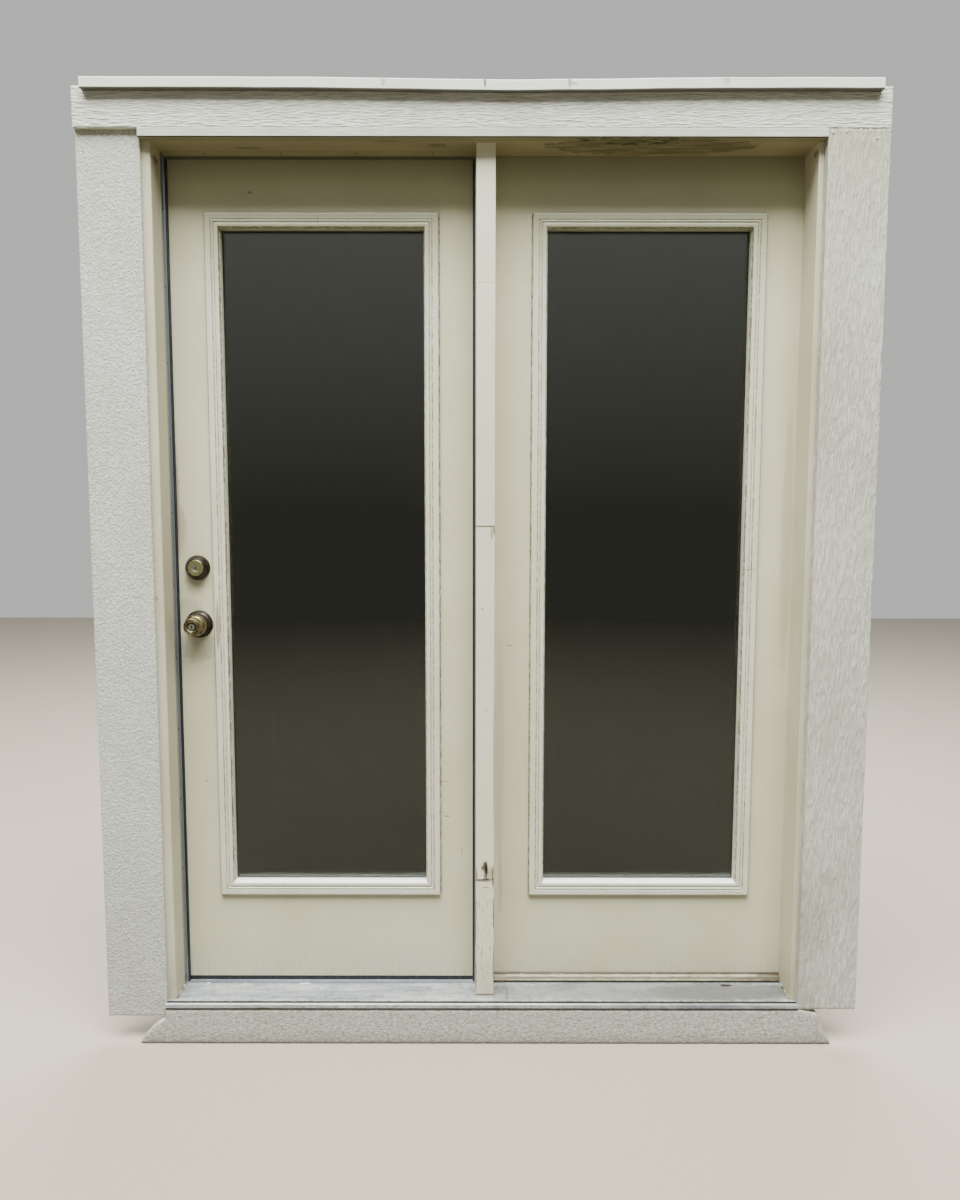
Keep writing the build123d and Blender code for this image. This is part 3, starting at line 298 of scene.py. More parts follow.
jamb_marks = [
    ((-761, -58, 2043), (9, 17, 9), "#463620", 0.95),
    ((-761, -70, 2040), (14, 10, 5), "#8a7f62", 0.6),
    ((755, -70, 2052), (10, 12, 8), "#6f6348", 0.7),
    ((-770, -50, 950), (14, 20, 60), "#9d9580", 0.45),
    ((-781, -90, 1030), (6, 9, 5), "#7c7461", 0.7),
    ((770, -50, 300), (14, 22, 240), "#b7ad90", 0.15),
    # Painted shade: a grey olive over the whole face of the left jamb's reveal
    ((-762, -54, 1060), (5, 52, 1600), "#a9a387", 0.42),
]
# Cream exterior latex, brushed along upright boards: satin, with long fine ridges
jamb_paint = brushed_paint("cream_latex_on_softwood", "#d3ccb4", "#c5bd9f", UPRIGHT_BRUSH, jamb_marks)
dress(jamb_paint, "left_jamb", "right_jamb")
soffit_marks = [
    ((-550, -50, SOFFIT_Z), (36, 7, 4), SOFFIT_BARE, 0.8),
    ((-222, -89, SOFFIT_Z), (32, 4, 4), SOFFIT_BARE, 0.8),
    ((-110, -67, SOFFIT_Z), (24, 10, 4), SOFFIT_BARE, 0.8),
]
# The same paint brushed along the head, made a dull olive cream as painted shade: it peels to brown wood
shaded_head_paint = brushed_paint("cream_latex_on_head_jamb", "#a59d78", "#938a64", LEVEL_BRUSH, soffit_marks)
peeled_patch(shaded_head_paint)
dress(shaded_head_paint, "head_jamb")

# Mullion: a softwood post with its wide stop outside, and face boards nailed over it. The lower board
# has rotted at its end, where water stood in the joint above the foot, so raw wood shows round the hole,
# whose black inside is painted shade.
mullion_marks = [
    ((1, -84, 361), (10, 12, 25), "#75684f", 0.8),
    ((-5, -84, 350), (3.4, 12, 13), "#ebe6d6", 0.9),
    # Painted shade: the black inside of the rot hole
    ((2, -84, 363), (5.0, 12, 21), "#120d08", 1.0),
    ((-2, -84, 336), (22, 12, 3.5), "#4a4030", 0.8),
    ((14, -84, 352), (6, 12, 22), "#b7a98c", 0.9),
    ((-2, -84, 1201.5), (24, 12, 1.6), "#5b5342", 0.8),
    ((15, -84, 1188), (4, 12, 18), "#a79c82", 0.8),
    ((-2, -84, 1762), (24, 12, 1.2), "#9d957f", 0.5),
    ((-18, -73, 1762), (3, 9, 11), "#8d9094", 0.9),
    ((21, -84, 1192), (2.5, 12, 12), "#5a5240", 0.8),
    ((21, -84, 640), (2.0, 12, 180), "#8f866e", 0.5),
    ((20, -84, 345), (3.0, 12, 28), "#574e3c", 0.85),
    ((-20, -84, 350), (2.5, 12, 20), "#6b624d", 0.7),
    ((0, -84, 43), (60, 12, 2.6), "#5a5342", 0.85),
    ((22, -84, 250), (2.4, 12, 46), "#6d5f45", 0.85),
    ((22, -84, 120), (2.2, 12, 60), "#7a6d52", 0.8),
    ((-22, -84, 230), (2.0, 12, 60), "#7a6f56", 0.7),
    ((-22, -84, 90), (2.2, 12, 40), "#6d6249", 0.8),
    ((2, -84, 318), (9, 12, 1.4), "#6b624d", 0.8),
    ((-7, -84, 1005), (5, 12, 2.4), "#948b74", 0.7),
    ((3, -84, 760), (7, 12, 1.4), "#a39a82", 0.6),
]
# A paler cream latex: satin, open in cracks along the grain of the lowest boards, brown where wet
# paint has lifted
mullion_paint = brushed_paint("cream_latex_on_mullion", "#eae3c9", "#e1d9bd", UPRIGHT_BRUSH, mullion_marks)
tree, shader, place, colour = painted_over(mullion_paint)
low = fade(tree, place, "Z", 0.30, 0.42, 1.0, 0.0)
outside = fade(tree, place, "Y", -0.07, -0.05, 1.0, 0.0)
wet = node(tree, "ShaderNodeMath", {0: low, 1: outside}, operation="MULTIPLY")[0]
cracks = patches(tree, place, (3.4, 3.4, 34), (0.575, 0.64), (0.0, 0.9), wet, detail=6.0, roughness=0.72)
tree.links.new(coat(tree, colour, "#756a52", cracks), shader.inputs["Base Color"])
dress(mullion_paint, "mullion_post", "mullion_face_upper", "mullion_face_lower", "mullion_face_foot")

# Sill: an aluminium deck over a treated softwood core. Its cream coating has worn to grey metal where
# feet pass, dirt lies in the corners, and the deck is darker towards its right end. Shade is painted
# along the drip groove, under the nose and along the slabs' feet.
# Half length of a mark that runs along the whole sill, well past its ends
ACROSS = 5000
deck_marks = [
    ((390, -54, 36), (430, 50, 30), "#84837e", 0.7),
    ((560, -64, 36), (230, 30, 30), "#7a7976", 0.6),
    ((620, -58, 36), (210, 44, 30), "#6c6a66", 0.6),
    ((-390, -8, 38), (360, 16, 30), "#80889a", 0.7),
    ((-380, -60, 36), (390, 8, 30), "#a5a8ac", 0.5),
    # Painted shade along the drip groove
    ((0, -104.6, 33), (ACROSS, 5.6, 30), "#24221f", 1.0),
    ((-300, -114.5, 33), (620, 4.6, 30), "#eef1f4", 0.9),
    # Painted shadow under the nose and along the slabs' feet
    ((0, -119, 25.2), (ACROSS, 3.0, 2.6), "#3b372f", 0.95),
    ((0, -13, 38), (ACROSS, 3.0, 9), "#4e4b46", 0.6),
    ((-458, -18, 38), (15, 2.4, 9), "#fbfcfb", 1.0),
    ((-705, -16, 38), (6, 2.5, 9), "#fbfcfb", 0.9),
    ((56, -66, 36), (1.3, 32, 9), "#5b5c5e", 0.9),
    ((614, -26, 38), (17, 6, 9), "#2b2723", 0.95),
    ((-395, -78, 36), (2.2, 6, 9), "#4f4e4c", 0.8),
    ((-545, -118, 25), (27, 6, 4.5), "#4d4438", 0.95),
]
# Worn coating over mill aluminium: patches of metal, long scratches and grey dirt
deck_material, tree, shader, place = new_material("worn_painted_aluminium")
worn = patches(tree, place, (120, 26, 26), (0.40, 0.62), detail=6.0, roughness=0.7)
colour = coat(tree, "#c3c6c6", "#92979e", worn)
colour = coat(tree, colour, "#eceeed", patches(tree, place, (70, 1.2, 1.2), (0.66, 0.74)))
dirt = patches(tree, place, (14, 14, 14), (0.50, 0.68), (0.0, 0.75), detail=8.0, roughness=0.75)
colour = coat(tree, colour, "#716b60", dirt)
colour = marked(tree, place, colour, deck_marks, grain=90.0)
finish(tree, shader, colour, (worn, 0.62, 0.42), metallic=0.35, relief=dirt, strength=0.4)
dress(deck_material, "sill_deck")
# Treated pine, planed and left bare: brown-green growth rings along the board
core_material, tree, shader, place = new_material("treated_softwood")
rings = stretched(tree, place, (300, 5, 3), detail=5.0)
finish(tree, shader, coat(tree, "#8c7550", "#6d5a3c", rings), 0.8, relief=rings, depth=0.0005)
dress(core_material, "sill_core")

# Apron: the board under the sill's nose, rough-sawn softwood thick with old paint. It is nailed to the
# front of the core, and its ends flare out past the casings.
APRON_CELL = 0.004
APRON_ROUGH = 0.0012
APRON_SINK = 0.0006
APRON_FRONT = -0.1195
APRON_BACK = -0.1


def merged_copy(name):
    """A CAD node's mesh with its loose triangles joined, for a piece that gives its shape more life."""
    bm = bmesh.new()
    bm.from_mesh(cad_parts[name].data)
    bmesh.ops.remove_doubles(bm, verts=bm.verts, dist=0.00002)
    return bm


def keep_evaluated(piece):
    """Turn a piece with modifiers into the plain mesh that they give."""
    graph = bpy.context.evaluated_depsgraph_get()
    mesh = bpy.data.meshes.new_from_object(piece.evaluated_get(graph))
    piece.modifiers.clear()
    piece.data = mesh
    return piece


def fine_copy(name, piece_name, cell):
    """A copy of a CAD node in small even faces, whose points can be moved."""
    piece = link_mesh(piece_name, merged_copy(name))
    remesh = piece.modifiers.new("remesh", "REMESH")
    remesh.mode = "VOXEL"
    remesh.voxel_size = cell
    return keep_evaluated(piece)


def drift(point, scale, shift=(0, 0, 0)):
    """Smooth noise at a point, its features given as how many there are to a metre along each axis."""
    return noise.noise(Vector([c * s for c, s in zip(point, scale)]) + Vector(shift))


apron = fine_copy("sill_apron", "sill_apron_board", APRON_CELL)
for v in apron.data.vertices:
    if v.co.y < APRON_BACK:
        rough = 0.35 * drift(v.co, (70, 90, 110)) + 1.1 * abs(drift(v.co, (190, 160, 150), (7, 3, 1)))
        v.co.y = max(APRON_FRONT, v.co.y + APRON_ROUGH * rough + APRON_SINK)
apron.data.shade_smooth()
# Thick pale latex over rough-sawn board: a sandy surface, greyer towards its foot
apron_material, tree, shader, place = new_material("rough_painted_board")
SAND = (6.5, 6.5, 4.0)
sand = stretched(tree, place, SAND, detail=6.0, roughness=0.75)
blotches = patches(tree, place, (9, 9, 6), (0.42, 0.62), detail=6.0, roughness=0.75)
colour = coat(tree, "#d9d5c9", "#a39c8d", blotches)
colour = coat(tree, colour, "#6f675a", fade(tree, place, "Z", -0.066, -0.03, 0.85, 0.0), share=sand)
pits = patches(tree, place, SAND, (0.56, 0.70), (0.0, 0.45), detail=6.0, roughness=0.75)
colour = coat(tree, colour, "#7c7564", pits)
finish(tree, shader, colour, 0.75, relief=sand, strength=1.0, depth=0.0034)
apron.data.materials.clear()
apron.data.materials.append(apron_material)
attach(apron, "frame")
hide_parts("sill_apron")

# Casings: fibre-cement trim boards nailed flat round the opening and painted a pale grey cream. They
# were pressed at the works: fine stipple on the left board, wood grain on the right and the head.
CASING_EASE = 0.0012
# Just inside half of a board's size, so that only the points on its rim lie beyond it
RIM_FROM = 0.4999
# The same noise presses the mesh and paints shade into its hollows and highlight onto its ridges
PRESSING = {"Scale": 1.0, "Detail": 3.0, "Roughness": 0.55, "Distortion": 0.6}


def making_tree(name, inputs):
    """A new geometry nodes tree with its named inputs: the tree, their identifiers and their sockets."""
    tree = bpy.data.node_groups.new(name, "GeometryNodeTree")
    identifiers = {}
    for label, kind in (("Geometry", "Geometry"), *inputs, ("Finish", "Material")):
        socket = tree.interface.new_socket(name=label, in_out="INPUT", socket_type="NodeSocket" + kind)
        identifiers[label] = socket.identifier
    tree.interface.new_socket(name="Geometry", in_out="OUTPUT", socket_type="NodeSocketGeometry")
    return tree, identifiers, node(tree, "NodeGroupInput")


def end_tree(tree, geometry, given):
    """Close a geometry nodes tree: what it made becomes real and takes the finish that it was given."""
    real = node(tree, "GeometryNodeRealizeInstances", {0: geometry})[0]
    finished = node(tree, "GeometryNodeSetMaterial", {"Geometry": real, "Material": given["Finish"]})[0]
    node(tree, "NodeGroupOutput", {0: finished})


def grow(name, tree, identifiers, values, base=None):
    """Run a geometry nodes tree on a base mesh with its inputs set, and keep the plain mesh."""
    piece = bpy.data.objects.new(name, base or bpy.data.meshes.new(name))
    bpy.context.scene.collection.objects.link(piece)
    modifier = piece.modifiers.new("making", "NODES")
    modifier.node_group = tree
    for label, value in values.items():
        modifier[identifiers[label]] = value
    return keep_evaluated(piece)


# A board of one size and place, whose outer face carries the pressed texture and has an eased rim
pressed_board, board_inputs, given = making_tree("pressed_board", (
    ("Size", "Vector"), ("Middle", "Vector"), ("Columns", "Int"), ("Rows", "Int"), ("Grain", "Vector"),
    ("Depth", "Float"), ("Sharpness", "Float"), ("Ease", "Float"), ("Seed", "Float")))
tree = pressed_board
board = node(tree, "GeometryNodeMeshCube", {
    "Size": given["Size"],
    "Vertices X": given["Columns"], "Vertices Y": 2, "Vertices Z": given["Rows"]})["Mesh"]
at = node(tree, "GeometryNodeInputPosition")[0]
front = node(tree, "ShaderNodeSeparateXYZ", {0: at})["Y"]
front = node(tree, "ShaderNodeMath", {0: front, 1: 0.0}, operation="LESS_THAN")[0]
shift = node(tree, "ShaderNodeCombineXYZ", {i: given["Seed"] for i in range(3)})[0]
grain = node(tree, "ShaderNodeVectorMath", {0: at, 1: given["Grain"], 2: shift}, operation="MULTIPLY_ADD")[0]
relief = node(tree, "ShaderNodeTexNoise", {"Vector": grain, **PRESSING})[0]
for sum_of, by in (
    ("SUBTRACT", 0.5), ("MULTIPLY", given["Sharpness"]), ("ADD", 0.5), ("MULTIPLY", given["Depth"]),
):
    relief = node(tree, "ShaderNodeMath", {0: relief, 1: by}, operation=sum_of, use_clamp=sum_of == "ADD")[0]
half = node(tree, "ShaderNodeVectorMath", {0: given["Size"], 1: [RIM_FROM] * 3}, operation="MULTIPLY")[0]
half = node(tree, "ShaderNodeSeparateXYZ", {0: half})
outward = node(tree, "ShaderNodeVectorMath", {0: at}, operation="ABSOLUTE")[0]
outward = node(tree, "ShaderNodeSeparateXYZ", {0: outward})
side, end = (
    node(tree, "ShaderNodeMath", {0: outward[axis], 1: half[axis]}, operation="GREATER_THAN")[0]
    for axis in "XZ"
)
rim = node(tree, "ShaderNodeMath", {0: side, 1: end}, operation="MAXIMUM")[0]
sunk = node(tree, "ShaderNodeMath", {0: rim, 1: given["Ease"], 2: relief}, operation="MULTIPLY_ADD")[0]
sunk = node(tree, "ShaderNodeMath", {0: sunk, 1: front}, operation="MULTIPLY")[0]
move = node(tree, "ShaderNodeCombineXYZ", {1: sunk})[0]
move = node(tree, "ShaderNodeVectorMath", {0: move, 1: given["Middle"]}, operation="ADD")[0]
end_tree(tree, node(tree, "GeometryNodeSetPosition", {"Geometry": board, "Offset": move})[0], given)


def casing_paint(name, fresh, shade, middle, grain, seed, tone, top_shade=0.0, splashed=0.0):
    """Thin coats over a pressed board: chalky, greyer with painted shade in the hollows of its own relief
    and paler with painted highlight on its ridges, painted shade at its top, and splashes at its foot."""
    material, tree, shader, place = new_material(name)
    slow = patches(tree, place, (240, 120, 420), (0.38, 0.66), detail=4.0)
    colour = coat(tree, fresh, shade, slow)
    at = node(tree, "ShaderNodeVectorMath", {0: place, 1: middle}, operation="SUBTRACT")[0]
    at = node(tree, "ShaderNodeVectorMath", {0: at, 1: grain, 2: [seed] * 3}, operation="MULTIPLY_ADD")[0]
    relief = node(tree, "ShaderNodeTexNoise", {"Vector": at, **PRESSING})[0]
    # Painted shade in the hollows of the relief and painted highlight on its ridges
    for toned, start, end in (("#8b8778", 0.44, 0.62), ("#eeede4", 0.42, 0.34)):
        colour = coat(tree, colour, toned, node(tree, "ShaderNodeMapRange", {
            "Value": relief, "From Min": start, "From Max": end, "To Max": tone})[0])
    colour = coat(tree, colour, "#958f82", fade(tree, place, "Z", 0.0, 0.4, splashed, 0.0), share=slow)
    # Painted shade at the board's top
    colour = painted_head_shade(tree, place, colour, top_shade)
    sand = stretched(tree, place, (2.6, 2.6, 2.6), detail=4.0)
    finish(tree, shader, colour, 0.7, relief=sand, strength=0.6, depth=0.0005)
    return material


# For each board: the columns and rows of its mesh, its grain in features per metre and how deep and
# sharp it is pressed, its paint with two tones and how far shade and highlight are painted on its relief,
# its painted shade above and its splashed dirt below
casings = [
    ("left_casing_board", "left_casing", (60, 780), (230, 200, 230), (0.0010, 3.4), 3.0,
     "painted_stippled_board", ("#d6d5cc", "#c7c5b9"), 0.42, 0.15, 0.4),
    ("right_casing_board", "right_casing", (84, 420), (270, 60, 30), (0.0018, 3.6), 8.0,
     "painted_upright_grain_board", ("#cfccbe", "#bfbcac"), 0.34, 0.3, 1.0),
    ("head_casing_board", "head_casing", (460, 56), (36, 60, 300), (0.0014, 3.4), 5.0,
     "painted_level_grain_board", ("#e4e4d7", "#d7d6c9"), 0.30, 0.0, 0.0),
]
for name, stood_for, cuts, grain, (relief, sharpness), seed, paint, tones, tone, top_shade, splashed in casings:
    low, high = (Vector(c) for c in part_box(stood_for))
    middle = (low + high) / 2
    board = grow(name, pressed_board, board_inputs, {
        "Size": tuple(high - low), "Middle": tuple(middle), "Columns": cuts[0], "Rows": cuts[1],
        "Grain": grain, "Depth": relief, "Sharpness": sharpness, "Ease": CASING_EASE, "Seed": seed,
        "Finish": casing_paint(paint, *tones, middle, grain, seed, tone, top_shade, splashed),
    })
    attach(board, "frame")
    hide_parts(stood_for)

# Strip under the head casing: a planed board that hides the head jamb's edge. Its underside is painted
# with shade: olive cream, going near black towards its front edge.
STRIP_GRAIN = (25, 400, 400)


def facing(tree, start, end, most):
    """An amount that grows from 0 to most as faces turn up or down: level and up is 1, down is -1."""
    return fade(tree, node(tree, "ShaderNodeTexCoord")["Normal"], "Z", start, end, 0.0, most)


# Thin coats over planed wood: chalky and smooth
strip_paint = casing_paint("painted_smooth_strip", "#d5d4c8", "#c4c2b5", (0, 0, 0), STRIP_GRAIN, 0.0, 0.3)
tree, shader, place, colour = painted_over(strip_paint)
# Painted shade on the downward faces, near black at the front
painted_underside_shade = coat(tree, "#241e14", "#8c8562", fade(tree, place, "Y", -0.1165, -0.112))
tree.links.new(coat(tree, colour, painted_underside_shade, facing(tree, -0.5, -0.8, 0.95)), shader.inputs["Base Color"])
peeled_patch(strip_paint)
dress(strip_paint, "head_strip")

# Drip cap: a moulded board over the head casing that throws rain clear, nailed and caulked along its
# back. It has sagged a little in the middle, and its paint has torn where nails and a joint are filled.
CAP_SAG = 0.0055
CAP_SAG_X = 0.06
CAP_SAG_REACH = 0.34
CAP_WAVE = 0.0008
CAP_STATION = 0.03
CAP_FREE_FROM = -0.1
CAP_FREE_DEPTH = 0.03
CAP_FLAT = 0.02
cap_low, cap_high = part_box("drip_cap")
cap_bm = merged_copy("drip_cap")
bmesh.ops.dissolve_limit(cap_bm, angle_limit=CAP_FLAT, verts=cap_bm.verts, edges=cap_bm.edges)
# Cut across at even steps, so that it can bend
for i in range(1, int((cap_high[0] - cap_low[0]) / CAP_STATION)):
    parts = cap_bm.verts[:] + cap_bm.edges[:] + cap_bm.faces[:]
    cut = (cap_low[0] + i * CAP_STATION, 0, 0)
    bmesh.ops.bisect_plane(cap_bm, geom=parts, plane_co=cut, plane_no=(1, 0, 0))
for v in cap_bm.verts:
    free = min(1.0, max(0.0, (CAP_FREE_FROM - v.co.y) / CAP_FREE_DEPTH))
    v.co.z -= free * CAP_SAG * math.exp(-((v.co.x - CAP_SAG_X) / CAP_SAG_REACH) ** 2)
    v.co.z -= free * CAP_WAVE * (1 + drift((v.co.x, 3, 5), (9, 1, 1)))
drip_cap = link_mesh("drip_cap_board", cap_bm)
cap_marks = [
    ((-228, -137, 2183), (5, 6, 15), "#8f8b80", 0.6),
    ((-3, -137, 2183), (3.5, 6, 17), "#5f5b50", 0.9),
    ((184, -137, 2183), (4, 6, 17), "#7b776b", 0.8),
    ((190, -137, 2176), (14, 6, 4), "#a5a092", 0.7),
    ((530, -137, 2184), (9, 6, 10), "#b5aa94", 0.7),
    ((560, -137, 2186), (60, 6, 2), "#b9ab90", 0.5),
    ((230, -137, 2189), (70, 6, 1.5), "#a9a597", 0.6),
]
# Pale grey cream latex, rolled smooth: satin, torn to filler at the nails. The underside is painted
# near black as shade
cap_paint = brushed_paint("torn_latex_on_drip_cap", "#e8eadf", "#dadacd", (90, 2.5, 2.5), cap_marks)
tree, shader, place, colour = painted_over(cap_paint)
# Painted shade on the downward faces
tree.links.new(coat(tree, colour, "#37342a", facing(tree, -0.5, -0.8, 0.9)), shader.inputs["Base Color"])
drip_cap.data.materials.clear()
drip_cap.data.materials.append(cap_paint)
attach(drip_cap, "frame")
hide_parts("drip_cap")

# Casing nails: round-headed steel nails driven flush through the boards and painted over, so that they
# show as small bumps near the ends of the boards.
NAIL_BUMP_R = 3.6
NAIL_BUMP_H = 0.9
LEFT_CASING_FACE = -105.6
RIGHT_CASING_FACE = -118.6
nail_places = [(x, LEFT_CASING_FACE, z) for x, z in ((-794, 2061), (-918, 1927))]
nail_places += [(x, RIGHT_CASING_FACE, z) for x, z in ((775, 2081), (806, 2083), (876, 2069))]


def dome(name, radius, height, sides=12):
    """A low round head standing on its rim, its sunk half closed under it, sizes in mm."""
    bm = bmesh.new()
    bmesh.ops.create_uvsphere(bm, u_segments=sides, v_segments=6, radius=1.0)
    bmesh.ops.scale(bm, verts=bm.verts, vec=(radius * MM, radius * MM, height * MM))
    for face in bm.faces:
        face.smooth = True
    return link_mesh(name, bm)


# One head set on each point, facing the way that the point says
heads_on_points, head_inputs, given = making_tree("heads_on_points", (
    ("Head", "Object"), ("Turn", "Float"), ("Seed", "Int")))
tree = heads_on_points
head = node(tree, "GeometryNodeObjectInfo", {"Object": given["Head"]})["Geometry"]
way = node(tree, "GeometryNodeInputNamedAttribute", {"Name": "facing"}, data_type="FLOAT_VECTOR")[0]
upright = node(tree, "FunctionNodeAlignRotationToVector", {"Vector": way}, axis="Z")[0]
most = node(tree, "ShaderNodeCombineXYZ", {2: given["Turn"]})[0]
turn = node(tree, "FunctionNodeRandomValue", {1: most, "Seed": given["Seed"]}, data_type="FLOAT_VECTOR")[0]
facing_out = node(tree, "FunctionNodeRotateRotation", {0: upright, 1: turn}, rotation_space="LOCAL")[0]
end_tree(tree, node(tree, "GeometryNodeInstanceOnPoints", {
    "Points": given["Geometry"], "Instance": head, "Rotation": facing_out})[0], given)


def set_heads(name, head, points, material, body, turn=0.0, seed=1):
    """Place a head at each point, given in mm with the way it faces, as one piece on one body."""
    mesh = bpy.data.meshes.new(name)
    mesh.from_pydata([[c * MM for c in middle] for middle, _ in points], [], [])
    attribute = mesh.attributes.new("facing", "FLOAT_VECTOR", "POINT")
    for i, (_, way) in enumerate(points):
        attribute.data[i].vector = way
    values = {"Head": head, "Turn": turn, "Seed": seed, "Finish": material}
    piece = grow(name, heads_on_points, head_inputs, values, mesh)
    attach(piece, body)


bump_head = dome("nail_bump", NAIL_BUMP_R, NAIL_BUMP_H)
casing_nails = [(middle, (0, -1, 0)) for middle in nail_places]
set_heads("casing_nail_bumps", bump_head, casing_nails, strip_paint, "frame")
bpy.data.objects.remove(bump_head)

# Weatherstrip: an aluminium carrier nailed to each stop that the leaf shuts on, with a black vinyl bulb
# pushed into its flange. The metal is dull mill finish, spotted where it has weathered. Over the leaf
# the carrier was painted in with the head jamb.

# Mill aluminium: drawn lines along the strip, grey-blue, with dull white corrosion spots
carrier_material, tree, shader, place = new_material("mill_aluminium_strip")
spots = patches(tree, place, (5, 5, 12), (0.56, 0.70), detail=6.0, roughness=0.7)
drawn = stretched(tree, place, (0.9, 0.9, 90))
finish(tree, shader, coat(tree, "#b3b7bf", "#8b8e92", spots), (spots, 0.32, 0.6), metallic=0.9,
       relief=drawn, strength=0.3, depth=0.0002)
dress(carrier_material, "weatherstrip_left", "weatherstrip_mullion")
dress(shaded_head_paint, "weatherstrip_head")
# Soft black vinyl: low sheen, with grey dust in the fold and cobweb under the head
bulb_material, tree, shader, place = new_material("black_vinyl_bulb")
dust = patches(tree, place, (12, 12, 40), (0.5, 0.75), (0.0, 0.5), detail=6.0)
colour = coat(tree, "#1b1b1e", "#4d4a44", dust)
colour = coat(tree, colour, "#6c6854", fade(tree, place, "Z", 2.058, 2.066, 0.0, 0.7))
finish(tree, shader, colour, 0.5)
dress(bulb_material, "weatherstrip_bulbs", "leaf_sweep")

# Weatherstrip nails: plated steel nails driven through the carriers at even steps. Their round heads
# stand a little proud, and their plate has gone dark.
STRIP_NAIL_R = 2.6
STRIP_NAIL_H = 0.9
STRIP_NAIL_STEP = 178.0
STRIP_NAIL_Y = -20
# The first nail's height on the uprights, its place across on the head, and the three carriers' faces
LOWEST_NAIL_Z = 164.5
FIRST_NAIL_X = -658.8
LEFT_STRIP_X = -760.2
MULLION_STRIP_X = -23.45
HEAD_STRIP_Z = 2069.8
strip_nails = [
    ((x, STRIP_NAIL_Y, LOWEST_NAIL_Z + STRIP_NAIL_STEP * i), (way, 0, 0))
    for x, way in ((LEFT_STRIP_X, 1), (MULLION_STRIP_X, -1)) for i in range(11)
]
strip_nails += [
    ((FIRST_NAIL_X + STRIP_NAIL_STEP * i, STRIP_NAIL_Y, HEAD_STRIP_Z), (0, 0, -1)) for i in range(4)
]
# Plated steel gone dark: brown rust over grey
nail_material, tree, shader, place = new_material("rusted_steel_nail")
rust = stretched(tree, place, (1.5, 1.5, 1.5), detail=4.0)
finish(tree, shader, coat(tree, "#4a3a30", "#2a2624", rust), 0.65, metallic=0.5)
strip_nail = dome("strip_nail", STRIP_NAIL_R, STRIP_NAIL_H, sides=8)
set_heads("weatherstrip_nails", strip_nail, strip_nails, nail_material, "frame")
bpy.data.objects.remove(strip_nail)

# Slabs: smooth doors 45 mm thick, cut out for the glass and rolled with cream satin paint. Hands have
# dirtied the working leaf round its lock, and painted shade darkens both at their tops, under the head.
slab_marks = [
    ((-762, 0, 1270), (15, 12, 170), "#8a8272", 0.65),
    ((-757, 0, 1190), (26, 12, 70), "#8f8674", 0.45),
    ((-715, 0, 1062), (26, 12, 30), "#97907e", 0.4),
    ((-712, 0, 905), (46, 12, 42), "#8f8878", 0.42),
    ((-735, 0, 985), (40, 12, 40), "#958e7d", 0.35),
    ((-560, 0, 1989), (5, 12, 3), "#6f6750", 0.7),
    ((-109, 0, 2076), (18, 12, 5), "#26241f", 0.9),
    ((-104, 0, 560), (18, 12, 1.6), "#9a917b", 0.7),
    ((-95, 0, 470), (9, 12, 1.8), "#6f6753", 0.8),
    ((-58, 0, 380), (2, 12, 8), "#8a8069", 0.6),
    ((60, 0, 905), (9, 12, 1.6), "#7d745e", 0.7),
    ((40, 0, 300), (5, 12, 90), "#a69c80", 0.45),
    ((-700, 0, 560), (3, 12, 3), "#8a8069", 0.7),
    ((740, 0, 1150), (14, 12, 330), "#a39676", 0.35),
    ((37, 0, 620), (12, 12, 300), "#b7ad92", 0.4),
    ((-45, 0, 620), (12, 12, 260), "#b7ad92", 0.1),
]
# Satin latex rolled on a smooth skin: almost flat, with a faint roller stipple drawn coarse enough to
# show
slab_paint = brushed_paint("cream_satin_on_slab", "#d7d2b4", "#cec8a8", (4, 4, 5), slab_marks, shaded=0.36)
dress(slab_paint, "leaf_slab", "fixed_slab")

# Bottom bead of the fixed panel: caulk gunned along the joint with the sill and painted in. It is
# wavy, pulled away in places, and black lines of dirt run along it.
BEAD_CELL = 0.0018
BEAD_FREE_Z = 0.0387
BEAD_SWELL = 0.0009
BEAD_PULL = 0.0011
bead = fine_copy("fixed_bottom_bead", "panel_bottom_bead", BEAD_CELL)
for v in bead.data.vertices:
    if v.co.z > BEAD_FREE_Z:
        wave = drift(v.co, (28, 60, 120))
        pull = drift(v.co, (90, 120, 300), (2, 9, 4))
        v.co.y += BEAD_SWELL * max(0.0, wave + 0.4 * pull)
        v.co.z -= BEAD_PULL * max(0.0, pull + 0.6 * wave)
bead.data.shade_smooth()
bead_marks = [
    ((730, -10, 52), (34, 16, 12), "#5d5138", 0.85),
    ((660, -10, 47), (60, 16, 4), "#7d735c", 0.8),
    ((0, -12, 40), (ACROSS, 12, 3.4), "#2d291e", 1.0),
    ((0, -6, 49), (ACROSS, 16, 2.6), "#544b36", 0.95),
    ((40, -10, 52), (16, 16, 12), "#8b7f62", 0.6),
    ((0, -4, 59), (ACROSS, 12, 3.2), "#3a3324", 1.0),
]
# Gunned caulk painted with the doors: wavy, with dirt in its hollows
bead_paint = brushed_paint("painted_caulk_bead", "#cbc2a4", "#b8ad8b", (40, 1.5, 1.5), bead_marks)
bead.data.materials.clear()
bead.data.materials.append(bead_paint)
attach(bead, "frame")
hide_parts("fixed_bottom_bead")

# Lites: moulded frames, one outside and one inside, that clamp the sealed glass into the slab. The
# outer ones are caulked round and painted in with the door, and the inner ones screw through.
LITE_HALF_W = 0.2794
LITE_HALF_H = 0.8382
LITE_MID_X = 0.3902
LITE_MID_Z = 1.1037
# The moulding's grooves: how far each lies in from the frame's edge and half its width, in mm
GROOVES = ((0.9, 1.5), (16.9, 1.2), (23.7, 0.8), (34.9, 1.5))
lite_marks = [
    ((-397, -8, 1928), (1.4, 12, 15), "#6a634f", 0.8),
    ((645, -8, 1095), (22, 12, 1.3), "#7c735b", 0.8),
    ((-659, -8, 955), (6, 12, 62), "#857d6c", 0.75),
    ((-427, -3, 1940), (17, 12, 3), "#3f392b", 0.9),
    ((-352, -3, 1940), (12, 12, 3), "#3f392b", 0.9),
    ((-580, -3, 1941), (50, 12, 2), "#565040", 0.6),
]
